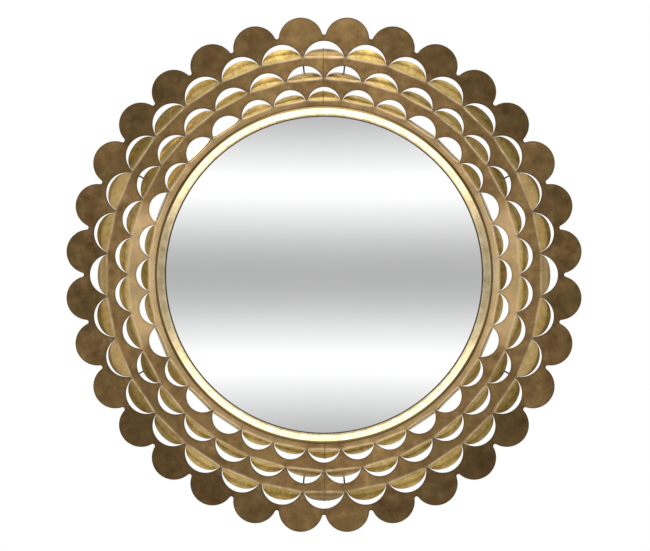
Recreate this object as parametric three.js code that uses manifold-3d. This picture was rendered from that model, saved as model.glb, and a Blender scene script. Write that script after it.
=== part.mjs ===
// Convex butler's mirror with a pierced, scalloped sheet frame.
// Millimetres. +Z up, the face looks toward -Y, the wall plane is y = 0,
// the origin is the centre of the wall plane. Angles on the face are counted
// clockwise from the top as seen from the front.
import * as THREE from 'three';
import Module from 'manifold-3d';

const wasm = await Module();
wasm.setup();

// ---------------------------------------------------------------- dimensions
const COUNT = 32;                 // lobes, and windows in each row
const PITCH = 360 / COUNT;
const SHEET = 1.2;                // thickness of the frame sheet
const FRONT_Y = -46;              // front of the sheet at its inner band
const INNER_R = 296.4;            // inner edge of the sheet
const TIP_R = 457.2;              // outer tips of the lobes (914.4 across)
const LOBE_R = 38.9;              // radius of a lobe
const NOTCH_R = 3.6;              // fillet at the bottom of a notch
const KERF = 0.4;                 // cut between a flap and its window
// rows of windows: apex radius, arc radius, chord (fold) radius, flap coverage
const ROWS = [
  { apex: 412.7, arc: 35.5, chord: 382, half: false,
    seen: [0.50, 0.68, 0.70, 0.69, 0.64, 0.73, 0.83, 0.78, 0.52] },
  { apex: 368.8, arc: 32.0, chord: 343, half: true,
    seen: [0.48, 0.68, 0.55, 0.61, 0.64, 0.64, 0.63, 0.69] },
  { apex: 330.0, arc: 28.8, chord: 306, half: false,
    seen: [0.67, 0.55, 0.59, 0.20, 0.18, 0.68, 0.20, 0.55, 0.64] },
];
// the sheet falls back toward the wall by these angles between the creases
const FALL = [0, 4, 8, 12];
const SEAM_X = 1.2;               // the seams stand this far off centre
const SEAM_GAP = 0.3;

const GLASS_R = 282;              // 564 mm convex glass, 22 in of it visible
const GLASS_T = 3;
const GLASS_RISE = 25;            // sagitta of the front
const GLASS_RIM_Y = -46.5;        // front of the glass at its edge
const LIP_R = 278.8;              // inner edge of the bezel
const BEZEL_R = 296;              // outer edge of the bezel
const BEZEL_STEP = 285.1;         // the bezel is stepped here to clear the edge of the pan
const PAN_IN = 283.6, PAN_OUT = 284.8, PAN_BACK = -14, FLANGE_R = 304;
const BOARD_T = 6;
const ROD_D = 2.8, ROD_Y = -12.2, ROD_FOOT_R = 426;
const ROD_ANGLES = [5.625, 61.875, 118.125, 174.375, 185.625, 241.875, 298.125, 354.375];
const HOOP_R = 419, HOOP_D = 5, HOOP_Y = -7.9;
const BUTTON_R = 296, BUTTON_ANGLES = [45, 135, 225, 315];
const BUTTON_T = 1.6, BUTTON_LONG = 26, BUTTON_SHORT = 8, BUTTON_W = 12;
const HANGER_X = 190, HANGER_Z = 110;      // centre of each hanger's barrel
const RING_W = 26, RING_H = 18, RING_D = 3;
const BUMPER_R = 250, BUMPER_ANGLES = [30, 150, 210, 330];
const TURNS = 40;                 // facets of the round pieces
const GAP = 0.3;

// ------------------------------------------------------------------- helpers
const rad = (d) => (d * Math.PI) / 180;
const at = (r, deg) => [r * Math.sin(rad(deg)), r * Math.cos(rad(deg))];
const root = new THREE.Group();

const finishes = {
  patina: { color: 0x8a6a42, roughness: 0.42, metalness: 1 },
  bezel: { color: 0xd9bd84, roughness: 0.18, metalness: 1 },
  mirror: { color: 0xd8dadb, roughness: 0.03, metalness: 1 },
  dark: { color: 0x3d3427, roughness: 0.5, metalness: 1 },
  steel: { color: 0xa9a7a0, roughness: 0.35, metalness: 1 },
  board: { color: 0x8b6b48, roughness: 0.85, metalness: 0 },
  felt: { color: 0x4a4540, roughness: 0.95, metalness: 0 },
  rubber: { color: 0x26241f, roughness: 0.8, metalness: 0 },
};

function add(name, geometry, finish) {
  const mesh = new THREE.Mesh(geometry, new THREE.MeshStandardMaterial(finishes[finish]));
  mesh.name = name;
  root.add(mesh);
  return mesh;
}

// shared-vertex positions and triangles of any geometry
function soup(geometry) {
  const p = geometry.attributes.position;
  const index = geometry.index ? Array.from(geometry.index.array) : [...Array(p.count).keys()];
  const seen = new Map(), verts = [], remap = [];
  for (let i = 0; i < p.count; i++) {
    const key = [p.getX(i), p.getY(i), p.getZ(i)].map((v) => Math.round(v * 2e4)).join(',');
    if (!seen.has(key)) {
      seen.set(key, verts.length / 3);
      verts.push(p.getX(i), p.getY(i), p.getZ(i));
    }
    remap.push(seen.get(key));
  }
  const tris = [];
  for (let i = 0; i < index.length; i += 3) {
    const t = [remap[index[i]], remap[index[i + 1]], remap[index[i + 2]]];
    if (t[0] !== t[1] && t[1] !== t[2] && t[0] !== t[2]) tris.push(...t);
  }
  return { verts, tris };
}

function toManifold(geometry) {
  const { verts, tris } = soup(geometry);
  return new wasm.Manifold(new wasm.Mesh({
    numProp: 3, vertProperties: new Float32Array(verts), triVerts: new Uint32Array(tris),
  }));
}

function fromManifold(solid) {
  const m = solid.getMesh();
  const g = new THREE.BufferGeometry();
  const pos = new Float32Array((m.vertProperties.length / m.numProp) * 3);
  for (let i = 0, j = 0; i < m.vertProperties.length; i += m.numProp, j += 3) {
    pos[j] = m.vertProperties[i];
    pos[j + 1] = m.vertProperties[i + 1];
    pos[j + 2] = m.vertProperties[i + 2];
  }
  g.setAttribute('position', new THREE.BufferAttribute(pos, 3));
  g.setIndex(Array.from(m.triVerts));
  return g;
}

// a ring or disc turned round the Y axis from a closed (r, y) profile
function turned(profile, turns = TURNS) {
  let area = 0;
  for (let i = 0; i < profile.length; i++) {
    const a = profile[i], b = profile[(i + 1) % profile.length];
    area += a[0] * b[1] - b[0] * a[1];
  }
  const pts = (area > 0 ? profile.slice() : profile.slice().reverse())
    .map(([r, y]) => new THREE.Vector2(r, y));
  const onAxis = pts.filter((p) => p.x === 0).length;
  if (onAxis === 0) pts.push(pts[0].clone());
  else {
    // start and end on the axis
    while (!(pts[0].x === 0 && pts[pts.length - 1].x === 0)) pts.push(pts.shift());
  }
  const g = new THREE.LatheGeometry(pts, turns);
  const s = soup(g);
  const out = new THREE.BufferGeometry();
  out.setAttribute('position', new THREE.BufferAttribute(new Float32Array(s.verts), 3));
  out.setIndex(s.tris);
  return out;
}

// a curve that passes through given stations, one step of a sweep each
class Stations extends THREE.Curve {
  constructor(points) {
    super();
    this.points = points;
  }
  getPoint(t) {
    const n = this.points.length - 1;
    const f = Math.min(Math.max(t, 0), 1) * n;
    const i = Math.min(Math.floor(f + 1e-9), n - 1);
    return this.points[i].clone().lerp(this.points[i + 1], f - i);
  }
  getPointAt(u) {
    return this.getPoint(u);
  }
  getTangentAt(u) {
    const n = this.points.length - 1;
    const i = Math.round(u * n);
    const a = this.points[Math.max(i - 1, 0)], b = this.points[Math.min(i + 1, n)];
    const c = this.points[i];
    const before = c.clone().sub(a), after = b.clone().sub(c);
    if (before.lengthSq() > 0) before.normalize();
    if (after.lengthSq() > 0) after.normalize();
    return before.add(after).normalize();
  }
}

function polygon(sides, radius) {
  const pts = [];
  for (let i = 0; i < sides; i++) {
    const a = ((i + 0.5) / sides) * 2 * Math.PI;
    pts.push(new THREE.Vector2(radius * Math.cos(a), radius * Math.sin(a)));
  }
  return new THREE.Shape(pts);
}

function wire(points, diameter, sides) {
  // the flats of the section stand at the wire's radius on average
  return new THREE.ExtrudeGeometry(polygon(sides, diameter / 2), {
    steps: points.length - 1, bevelEnabled: false, extrudePath: new Stations(points),
  });
}

// a plan outline in (x, z), thickness from y0 (front) to y1 (back)
function plate(shape, y0, y1) {
  const g = new THREE.ExtrudeGeometry(shape, { depth: y1 - y0, bevelEnabled: false, curveSegments: 5 });
  g.applyMatrix4(new THREE.Matrix4().makeBasis(
    new THREE.Vector3(1, 0, 0), new THREE.Vector3(0, 0, 1), new THREE.Vector3(0, -1, 0)));
  g.translate(0, y1, 0);
  return g;
}

// ------------------------------------------------------------- pierced sheet
const lobeCentre = TIP_R - LOBE_R;
for (const row of ROWS) {
  row.centre = row.apex - row.arc;
  row.rise = row.chord - row.centre;
  row.end = Math.sqrt(row.arc ** 2 - row.rise ** 2);
  row.tabEnd = Math.sqrt((row.arc - KERF) ** 2 - row.rise ** 2);
  row.crease = Math.hypot(row.chord, row.end);
}
const knots = [ROWS[2].crease, ROWS[1].crease, ROWS[0].crease];

// depth of the sheet's front at radius r
function fall(r) {
  const stops = [0, ...knots, 1e4];
  let y = FRONT_Y;
  for (let i = 0; i < 4; i++) {
    if (r > stops[i]) y += (Math.min(r, stops[i + 1]) - stops[i]) * Math.tan(rad(FALL[i]));
  }
  return y;
}

// one table of flap angles per row, the same in each quarter of the frame
function bend(row, index) {
  const n = row.seen.length;
  let i = index % COUNT;
  if (row.half) {
    if (i >= COUNT / 2) i = COUNT - 1 - i;
    if (i >= COUNT / 4) i = COUNT / 2 - 1 - i;
  } else {
    if (i > COUNT / 2) i = COUNT - i;
    if (i > COUNT / 4) i = COUNT / 2 - i;
  }
  return Math.acos(row.seen[Math.min(i, n - 1)]);
}

function piercedRing() {
  const front = [], back = [], lookup = new Map(), faces = [];
  const point = (x, z, y, bx, bz, by, tag) => {
    const key = [x, z].map((v) => Math.round(v * 1e3)).join(',') + (tag || '');
    if (!lookup.has(key)) {
      lookup.set(key, front.length);
      front.push([x, y, z]);
      back.push([bx, by, bz]);
    }
    return lookup.get(key);
  };
  const flat = ([x, z]) => {
    const y = fall(Math.hypot(x, z));
    return point(x, z, y, x, z, y + SHEET);
  };
  const turn = ([u, v], deg) => {
    const s = Math.sin(rad(deg)), c = Math.cos(rad(deg));
    return [u * c + v * s, -u * s + v * c];
  };
  const fill = (ids) => {
    const contour = ids.map((i) => new THREE.Vector2(front[i][0], front[i][2]));
    for (const t of THREE.ShapeUtils.triangulateShape(contour, [])) {
      faces.push([ids[t[0]], ids[t[1]], ids[t[2]]]);
    }
  };
  // points of a window's arc from its end at -u up to the apex and down to +u
  const windowArc = (row, steps) => {
    const start = Math.atan2(row.rise, -row.end), out = [];
    const stop = Math.atan2(row.rise, row.end);
    for (let i = 0; i <= steps; i++) {
      const a = start + ((stop - start) * i) / steps;
      out.push([row.arc * Math.cos(a), row.centre + row.arc * Math.sin(a)]);
    }
    return out;
  };
  const hinge = (row, index, side) => {
    // end of the fold line; the inner side of the bend is mitred
    const deg = (index + (row.half ? 0.5 : 0)) * PITCH;
    const b = bend(row, index);
    const [x, z] = turn([side * row.tabEnd, row.chord], deg);
    const y = fall(Math.hypot(x, z));
    const [bx, bz] = turn([side * row.tabEnd, row.chord - SHEET * Math.tan(b / 2)], deg);
    return point(x, z, y, bx, bz, y + SHEET);
  };

  const ARC = 6, TAB = 5, LOBE = 7;
  for (let k = 0; k < COUNT; k++) {
    // lobe sector
    {
      const deg = (k + 0.5) * PITCH;
      const arcL = windowArc(ROWS[0], ARC).slice(ARC / 2).map((p) => turn(p, deg - PITCH / 2));
      const arcR = windowArc(ROWS[0], ARC).slice(0, ARC / 2 + 1).map((p) => turn(p, deg + PITCH / 2));
      const neck = turn([0, ROWS[0].chord / Math.cos(rad(PITCH / 2))], deg);
      // notch fillet: tangent to this lobe and its neighbour
      const half = lobeCentre * Math.sin(rad(PITCH / 2));
      const low = lobeCentre * Math.cos(rad(PITCH / 2));
      const lift = Math.sqrt((LOBE_R + NOTCH_R) ** 2 - half ** 2);
      const filletR = low + lift;
      const bottom = turn([0, filletR - NOTCH_R], deg + PITCH / 2);
      const bottomL = turn([0, filletR - NOTCH_R], deg - PITCH / 2);
      // tangent point and mid point of the fillet, in the notch's own frame
      const dir = Math.atan2(lift, half);
      const tangent = [-half + LOBE_R * Math.cos(dir), low + LOBE_R * Math.sin(dir)];
      const midA = (Math.PI + dir + 1.5 * Math.PI) / 2;
      const mid = [NOTCH_R * Math.cos(midA), filletR + NOTCH_R * Math.sin(midA)];
      const right = [turn(tangent, deg + PITCH / 2), turn(mid, deg + PITCH / 2)];
      const left = [turn([-tangent[0], tangent[1]], deg - PITCH / 2), turn([-mid[0], mid[1]], deg - PITCH / 2)];
      // lobe arc between the two tangent points
      const c = turn([0, lobeCentre], deg);
      const local = (p) => {
        const q = [p[0] - c[0], p[1] - c[1]];
        const s = Math.sin(rad(deg)), co = Math.cos(rad(deg));
        return Math.atan2(q[0] * co - q[1] * s, q[0] * s + q[1] * co);
      };
      const a0 = local(left[0]), a1 = local(right[0]);
      const arc = [];
      for (let i = 0; i <= LOBE; i++) {
        const a = a0 + ((a1 - a0) * i) / LOBE;
        // the facets' corners stand on the lobe's circle; the middle facet is
        // split so that the tip is a corner
        arc.push(turn([LOBE_R * Math.sin(a), lobeCentre + LOBE_R * Math.cos(a)], deg));
      }
      const tip = turn([0, TIP_R], deg);
      arc.splice((LOBE + 1) / 2, 0, tip);
      const ids = [
        ...[bottomL, left[1], ...arc, right[1], bottom].map(flat),
        ...arcR.slice().reverse().map(flat),
        flat(neck),
        ...arcL.slice().reverse().map(flat),
      ];
      fill(ids);
    }
    // bands between the rows: outer fold of row i, inner arcs of row i + 1
    for (let i = 0; i < 3; i++) {
      const row = ROWS[i], next = ROWS[i + 1];
      const deg = (k + (row.half ? 0.5 : 0)) * PITCH;
      const corner = row.chord / Math.cos(rad(PITCH / 2));
      const outer = [
        flat(turn([0, corner], deg - PITCH / 2)),
        flat(turn([-row.end, row.chord], deg)),
        hinge(row, k, -1),
        hinge(row, k, 1),
        flat(turn([row.end, row.chord], deg)),
        flat(turn([0, corner], deg + PITCH / 2)),
      ];
      let inner;
      if (next) {
        const arcR = windowArc(next, ARC).slice(0, ARC / 2 + 1).map((p) => turn(p, deg + PITCH / 2));
        const arcL = windowArc(next, ARC).slice(ARC / 2).map((p) => turn(p, deg - PITCH / 2));
        const neck = turn([0, next.chord / Math.cos(rad(PITCH / 2))], deg);
        inner = [
          ...arcR.slice().reverse().map(flat),
          flat(neck),
          ...arcL.slice().reverse().map(flat),
        ];
      } else {
        inner = [
          flat(turn([0, INNER_R], deg + PITCH / 2)),
          flat(turn([0, INNER_R], deg)),
          flat(turn([0, INNER_R], deg - PITCH / 2)),
        ];
      }
      fill([...outer, ...inner]);

      // the flap, bent back on its chord
      const b = bend(row, k);
      const A = hinge(row, k, -1), B = hinge(row, k, 1);
      const hy = front[A][1];
      const r0 = row.arc - KERF;
      const start = Math.atan2(row.rise, -row.tabEnd), stop = Math.atan2(row.rise, row.tabEnd);
      const ids = [A];
      for (let j = 1; j < TAB; j++) {
        const a = start + ((stop - start) * j) / TAB;
        const u = r0 * Math.cos(a), v = r0 * Math.sin(a) - row.rise;
        const [x, z] = turn([u, row.chord + v * Math.cos(b)], deg);
        const y = hy + v * Math.sin(b);
        const [bx, bz] = turn([u, row.chord + v * Math.cos(b) - SHEET * Math.sin(b)], deg);
        ids.push(point(x, z, y, bx, bz, y + SHEET * Math.cos(b), `f${i}.${k}.${j}`));
      }
      ids.push(B);
      for (let j = 1; j < ids.length - 1; j++) faces.push([ids[0], ids[j + 1], ids[j]]);
    }
  }

  // both skins, and a wall along each free edge
  const count = front.length;
  const verts = [...front, ...back].flat();
  const tris = [], edges = new Map();
  const normal = (t) => {
    const [a, b, c] = t.map((i) => front[i]);
    return (b[0] - a[0]) * (c[2] - a[2]) - (b[2] - a[2]) * (c[0] - a[0]);
  };
  for (let t of faces) {
    // seen from the front (-Y), x to the right and z up, front faces run
    // anticlockwise
    if (normal(t) < 0) t = [t[0], t[2], t[1]];
    tris.push(...t, t[0] + count, t[2] + count, t[1] + count);
    for (let i = 0; i < 3; i++) {
      const a = t[i], b = t[(i + 1) % 3];
      edges.set(`${a},${b}`, [a, b]);
    }
  }
  for (const [a, b] of edges.values()) {
    if (edges.has(`${b},${a}`)) continue;
    tris.push(b, a, a + count, b, a + count, b + count);
  }
  const g = new THREE.BufferGeometry();
  g.setAttribute('position', new THREE.BufferAttribute(new Float32Array(verts), 3));
  g.setIndex(tris);
  return g;
}

function box(x0, x1, y0, y1, z0, z1) {
  const g = new THREE.BoxGeometry(x1 - x0, y1 - y0, z1 - z0);
  g.translate((x0 + x1) / 2, (y0 + y1) / 2, (z0 + z1) / 2);
  return toManifold(g);
}

const ring = toManifold(piercedRing());
const big = 520, s = SEAM_GAP / 2;
// two like halves, one turned half round on the other
const keepRight = box(-SEAM_X + s, big, -90, 30, 0, big).add(box(SEAM_X + s, big, -90, 30, -big, 0));
const keepLeft = box(-big, -SEAM_X - s, -90, 30, 0, big).add(box(-big, SEAM_X - s, -90, 30, -big, 0));
add('frame_half_right', fromManifold(ring.intersect(keepRight)), 'patina');
add('frame_half_left', fromManifold(ring.intersect(keepLeft)), 'patina');

// --------------------------------------------------------------- the mirror
const glassRadius = (GLASS_R ** 2 + GLASS_RISE ** 2) / (2 * GLASS_RISE);
const crownY = GLASS_RIM_Y - GLASS_RISE;
const glassY = (r) => crownY + glassRadius - Math.sqrt(glassRadius ** 2 - r * r);
{
  const rings = 4, profile = [];
  for (let i = 0; i <= rings; i++) {
    const r = (GLASS_R * i) / rings;
    profile.push([r, glassY(r)]);
  }
  for (let i = rings; i >= 0; i--) {
    const r = (GLASS_R * i) / rings;
    profile.push([r, glassY(r) + GLASS_T]);
  }
  add('mirror_glass', turned(profile), 'mirror');
}
add('bezel_ring', turned([
  [LIP_R, -47.5], [LIP_R, -51.4], [LIP_R + 0.5, -51.9], [LIP_R + 6.5, -51.2], [LIP_R + 13, -50.2],
  [LIP_R + 13.8, -49.7], [BEZEL_R - 0.5, -46.1], [BEZEL_R, -45.5], [BEZEL_R, -44.9],
  [BEZEL_STEP, -44.9], [BEZEL_STEP, -47.5],
]), 'bezel');

const pin = (r, deg, y0, y1, radius, sides) => {
  const [x, z] = at(r, deg);
  const g = new THREE.CylinderGeometry(radius, radius, y1 - y0, sides);
  g.translate(x, (y0 + y1) / 2, z);
  return toManifold(g);
};
const pan = turned([
  [PAN_IN, -47.2], [PAN_OUT, -47.2], [PAN_OUT, PAN_BACK - 1.2], [FLANGE_R, PAN_BACK - 1.2],
  [FLANGE_R, PAN_BACK], [PAN_IN, PAN_BACK],
]);
let panSolid = toManifold(pan);
for (const deg of BUTTON_ANGLES) panSolid = panSolid.subtract(pin(BUTTON_R, deg, PAN_BACK - 3, PAN_BACK + 2, 1.9, 8));
add('rim_pan', fromManifold(panSolid), 'dark');

add('support_ring', turned([
  [PAN_OUT + GAP, -44.5], [302, -44.5], [302, -43.3], [PAN_OUT + 1.5, -43.3],
  [PAN_OUT + 1.5, -28], [PAN_OUT + GAP, -28],
]), 'dark');

const boardFront = PAN_BACK - BOARD_T;
add('spacer_ring', turned([
  [264, boardFront - GAP], [282.6, boardFront - GAP],
  [282.6, glassY(GLASS_R) + GLASS_T + 0.5], [264, glassY(264) + GLASS_T + 0.8],
]), 'felt');

// ------------------------------------------------------------ backing board
const strapLow = HANGER_Z - 37;
const screwZ = [HANGER_Z - 23.5, HANGER_Z - 31.5];
let board = toManifold(turned([[0, boardFront], [283.1, boardFront], [283.1, PAN_BACK], [0, PAN_BACK]]));
for (const side of [-1, 1]) {
  for (const z of screwZ) {
    const g = new THREE.CylinderGeometry(1.7, 1.7, 8, 8);
    g.translate(side * HANGER_X, PAN_BACK, z);
    board = board.subtract(toManifold(g));
  }
}
add('backing_board', fromManifold(board), 'board');

// ----------------------------------------------------- rods, hoop and straps
ROD_ANGLES.forEach((deg, i) => {
  const foot = fall(ROD_FOOT_R) + SHEET + 0.6;
  const bendR = 6;
  const stations = [[293, ROD_Y]];
  for (let j = 0; j <= 3; j++) {
    const a = (j / 3) * Math.PI / 2;
    stations.push([ROD_FOOT_R - bendR + bendR * Math.sin(a), ROD_Y - bendR + bendR * Math.cos(a)]);
  }
  stations.push([ROD_FOOT_R, foot]);
  const pts = stations.map(([r, y]) => {
    const [x, z] = at(r, deg);
    return new THREE.Vector3(x, y, z);
  });
  add(`support_rod_${i + 1}`, wire(pts, ROD_D, 8), 'dark');
});

for (const [name, from] of [['rear_hoop_right', 0], ['rear_hoop_left', 180]]) {
  const slack = (0.2 / HOOP_R) * (180 / Math.PI);
  const pts = [];
  for (let j = 0; j <= 24; j++) {
    const deg = from + slack + ((180 - 2 * slack) * j) / 24;
    const [x, z] = at(HOOP_R, deg);
    pts.push(new THREE.Vector3(x, HOOP_Y, z));
  }
  add(name, wire(pts, HOOP_D, 8), 'dark');
}

for (const [tag, up] of [['top', 1], ['bottom', -1]]) {
  for (const [part, r, w, h, tilt] of [['outer', 418.2, 34, 8.6, FALL[3]], ['middle', 370, 22, 15, FALL[2]]]) {
    const g = new THREE.BoxGeometry(w, SHEET, h);
    const mesh = add(`seam_strap_${tag}_${part}`, g, 'patina');
    mesh.rotation.x = -rad(tilt) * up;
    mesh.position.set(-up * SEAM_X, fall(r) + SHEET + 0.4 + SHEET / 2 + 0.1, up * r);
  }
}

// --------------------------------------------- turn buttons and their screws
const screw = (headR, headH, shankR, length, y, sides = 10) => turned([
  [0, y - length], [shankR, y - length + 0.8], [shankR, y], [headR, y], [headR, y + headH * 0.45],
  [headR * 0.62, y + headH], [0, y + headH],
], sides);
BUTTON_ANGLES.forEach((deg, i) => {
  const shape = new THREE.Shape();
  const h = BUTTON_W / 2;
  shape.moveTo(h, BUTTON_SHORT - h);
  shape.absarc(0, BUTTON_SHORT - h, h, 0, Math.PI, false);
  shape.lineTo(-h * 0.8, -(BUTTON_LONG - h * 0.8));
  shape.absarc(0, -(BUTTON_LONG - h * 0.8), h * 0.8, Math.PI, 2 * Math.PI, false);
  const hole = new THREE.Path();
  hole.absarc(0, 0, 1.9, 0, 2 * Math.PI, true);
  shape.holes.push(hole);
  const g = plate(shape, PAN_BACK + GAP, PAN_BACK + GAP + BUTTON_T);
  const [x, z] = at(BUTTON_R, deg);
  const button = add(`turn_button_${i + 1}`, g, 'steel');
  button.rotation.y = rad(deg);
  button.position.set(x, 0, z);
  const pinMesh = add(`button_screw_${i + 1}`, screw(3.6, 1.8, 1.55, 5.6, PAN_BACK + GAP + BUTTON_T + GAP), 'steel');
  pinMesh.position.set(x, 0, z);
});

// ------------------------------------------------------------ strap hangers
const strapY = PAN_BACK + GAP;             // front face of a strap
const strapT = 1.2, barrel = RING_D / 2 + 0.3;
const barrelY = strapY + strapT + barrel;
for (const [tag, side] of [['left', -1], ['right', 1]]) {
  const pts = [[strapY, strapLow]];
  const outerR = barrel + strapT, stepsA = 9;
  for (let j = 0; j <= stepsA; j++) {
    const a = Math.PI - ((Math.PI * 1.5) * j) / stepsA;
    pts.push([barrelY + outerR * Math.cos(a), HANGER_Z + outerR * Math.sin(a)]);
  }
  for (let j = stepsA; j >= 0; j--) {
    const a = Math.PI - ((Math.PI * 1.5) * j) / stepsA;
    pts.push([barrelY + barrel * Math.cos(a), HANGER_Z + barrel * Math.sin(a)]);
  }
  pts.push([strapY + strapT, strapLow]);
  const shape = new THREE.Shape(pts.map(([y, z]) => new THREE.Vector2(y, z)));
  const g = new THREE.ExtrudeGeometry(shape, { depth: 12, bevelEnabled: false });
  g.applyMatrix4(new THREE.Matrix4().makeBasis(
    new THREE.Vector3(0, 1, 0), new THREE.Vector3(0, 0, 1), new THREE.Vector3(1, 0, 0)));
  g.translate(side * HANGER_X - 6, 0, 0);
  let strap = toManifold(g);
  for (const z of screwZ) {
    const c = new THREE.CylinderGeometry(1.9, 1.9, 6, 8);
    c.translate(side * HANGER_X, strapY, z);
    strap = strap.subtract(toManifold(c));
  }
  add(`hanger_strap_${tag}`, fromManifold(strap), 'steel');

  screwZ.forEach((z, i) => {
    const m = add(`hanger_screw_${tag}_${i + 1}`, screw(3.4, 1.5, 1.4, 5.2, strapY + strapT + GAP), 'steel');
    m.position.set(side * HANGER_X, 0, z);
  });

  // ring of round wire, its ends meeting inside the barrel, hanging down
  const w = RING_W / 2 - RING_D / 2, h = RING_H, c = 3;
  const loop = [[0.2, 0], [w - c, 0]];
  for (let j = 1; j <= 2; j++) {
    const a = (j / 2) * Math.PI / 2;
    loop.push([w - c + c * Math.sin(a), -c + c * Math.cos(a)]);
  }
  const bigR = w, cy = -(h - RING_D / 2 - w) - 0;
  for (let j = 0; j <= 8; j++) {
    const a = (j / 8) * Math.PI;
    loop.push([bigR * Math.cos(a), Math.min(cy, -c - 0.5) - (h - RING_D - Math.abs(Math.min(cy, -c - 0.5))) * Math.sin(a)]);
  }
  for (let j = 2; j >= 1; j--) {
    const a = (j / 2) * Math.PI / 2;
    loop.push([-(w - c + c * Math.sin(a)), -c + c * Math.cos(a)]);
  }
  loop.push([-(w - c), 0], [-0.2, 0]);
  const ringPts = loop.map(([x, z]) => new THREE.Vector3(side * HANGER_X + x, barrelY, HANGER_Z + z));
  add(`d_ring_${tag}`, wire(ringPts, RING_D, 8), 'steel');
}

// ------------------------------------------------------------ wall bumpers
BUMPER_ANGLES.forEach((deg, i) => {
  const g = turned([[0, PAN_BACK + GAP], [9, PAN_BACK + GAP], [9, -9], [8, -1], [7.4, 0], [0, 0]], 16);
  const m = add(`wall_bumper_${i + 1}`, g, 'rubber');
  const [x, z] = at(BUMPER_R, deg);
  m.position.set(x, 0, z);
});

export default root;
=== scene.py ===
import bpy
import bmesh
import math
import random
from mathutils import Vector, Matrix, noise
from mathutils.geometry import delaunay_2d_cdt


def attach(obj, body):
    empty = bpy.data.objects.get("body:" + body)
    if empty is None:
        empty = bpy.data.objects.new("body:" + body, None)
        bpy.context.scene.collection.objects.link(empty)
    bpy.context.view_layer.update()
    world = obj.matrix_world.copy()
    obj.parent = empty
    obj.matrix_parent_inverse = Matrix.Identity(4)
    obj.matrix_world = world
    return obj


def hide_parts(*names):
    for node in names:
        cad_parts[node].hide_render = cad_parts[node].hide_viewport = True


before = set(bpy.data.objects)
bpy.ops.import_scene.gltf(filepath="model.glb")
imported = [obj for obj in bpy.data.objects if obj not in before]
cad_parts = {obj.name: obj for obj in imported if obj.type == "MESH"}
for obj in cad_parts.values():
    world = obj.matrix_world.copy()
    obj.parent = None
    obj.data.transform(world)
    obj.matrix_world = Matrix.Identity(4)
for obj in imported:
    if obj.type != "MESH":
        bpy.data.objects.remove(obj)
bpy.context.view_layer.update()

MM = 0.001
BODY = "mirror"

# ---------------------------------------------------------------- dimensions
COUNT = 32
PITCH = 360.0 / COUNT
HALF_STEP = math.radians(PITCH / 2)
SHEET = 1.2
FRONT_Y = -46.0
INNER_R = 296.4
TIP_R = 456.98
LOBE_R = 38.9
NOTCH_R = 3.6
KERF = 0.4
FALL = [0.0, 4.0, 8.0, 12.0]
SEAM_X = 1.2
SEAM_GAP = 0.05


class Row:
    def __init__(self, apex, arc, chord, half, seen):
        self.apex, self.arc, self.chord, self.half, self.seen = apex, arc, chord, half, seen
        self.centre = apex - arc
        self.rise = chord - self.centre
        self.end = math.sqrt(arc ** 2 - self.rise ** 2)
        self.flap_end = math.sqrt((arc - KERF) ** 2 - self.rise ** 2)
        self.height = arc - KERF - self.rise

    def angle(self, k):
        return (k + (0.5 if self.half else 0.0)) * PITCH

    def place(self, k):
        """Steps away from the nearer of top and bottom, and the hand."""
        i, hand = k % COUNT, 1
        last = COUNT - 1 if self.half else COUNT
        if i > last // 2:
            i, hand = last - i, -hand
        last = COUNT // 2 - 1 if self.half else COUNT // 2
        if i > last // 2:
            i, hand = last - i, -hand
        return i, hand

    def coverage(self, k):
        return self.seen[self.place(k)[0]]


ROWS = [
    Row(412.7, 35.5, 382.0, False, [0.50, 0.68, 0.70, 0.69, 0.64, 0.73, 0.83, 0.78, 0.52]),
    Row(368.8, 32.0, 343.0, True, [0.48, 0.68, 0.55, 0.61, 0.64, 0.64, 0.63, 0.69]),
    Row(330.0, 28.8, 306.0, False, [0.67, 0.55, 0.59, 0.20, 0.18, 0.68, 0.20, 0.55, 0.64]),
]
# how each flap was bent: its curl, its twist and how much it is cupped, and how golden it is and its wear-and-sheen
# level, both partly painted highlight
SHAPES = [
    ([26, 16, 14, 18, 30, 24, 16, 20, 22], [0, -2, 1, -2, 2, -1, 1, 0, 0], [4, 1, 0, 2, 4, 1, 0, 2, 4],
     [0.25, 1.00, 1.00, 0.95, 0.80, 0.85, 0.50, 0.60, 0.50], [0.46, 0.52, 0.64, 0.66, 0.56, 0.54, 0.76, 0.54, 0.80]),
    ([36, 16, 40, 38, 28, 26, 26, 20], [7, -3, 2, 0, -6, 8, -8, 3], [8, 2, 9, 14, 5, 8, 8, 3],
     [0.50, 1.00, 0.85, 0.90, 1.00, 0.80, 0.80, 0.95], [0.50, 0.74, 0.52, 0.74, 0.78, 0.60, 0.72, 0.80]),
    ([14, 36, 22, 8, 8, 22, 8, 28, 20], [0, 4, -3, 1, 1, -2, 1, -3, 0], [2, 6, 3, 0, 0, 3, 0, 4, 3],
     [1.00, 0.95, 0.95, 0.80, 0.80, 0.85, 0.70, 0.95, 0.65], [0.80, 0.54, 0.70, 0.45, 0.45, 0.80, 0.45, 0.74, 0.60]),
]
SLOPE = [math.tan(math.radians(a)) for a in FALL]
LOBE_C = TIP_R - LOBE_R


# ------------------------------------------------------------------ materials
def material(name):
    m = bpy.data.materials.new(name)
    m.use_nodes = True
    nt = m.node_tree
    nt.nodes.clear()
    out = nt.nodes.new("ShaderNodeOutputMaterial")
    bsdf = nt.nodes.new("ShaderNodeBsdfPrincipled")
    nt.links.new(bsdf.outputs[0], out.inputs[0])
    return m, nt, bsdf


def node(nt, kind, **values):
    n = nt.nodes.new(kind)
    for key, value in values.items():
        if hasattr(n, key):
            setattr(n, key, value)
        else:
            n.inputs[key.replace("_", " ")].default_value = value
    return n


def coords(nt):
    return node(nt, "ShaderNodeTexCoord").outputs["Object"]


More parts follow.
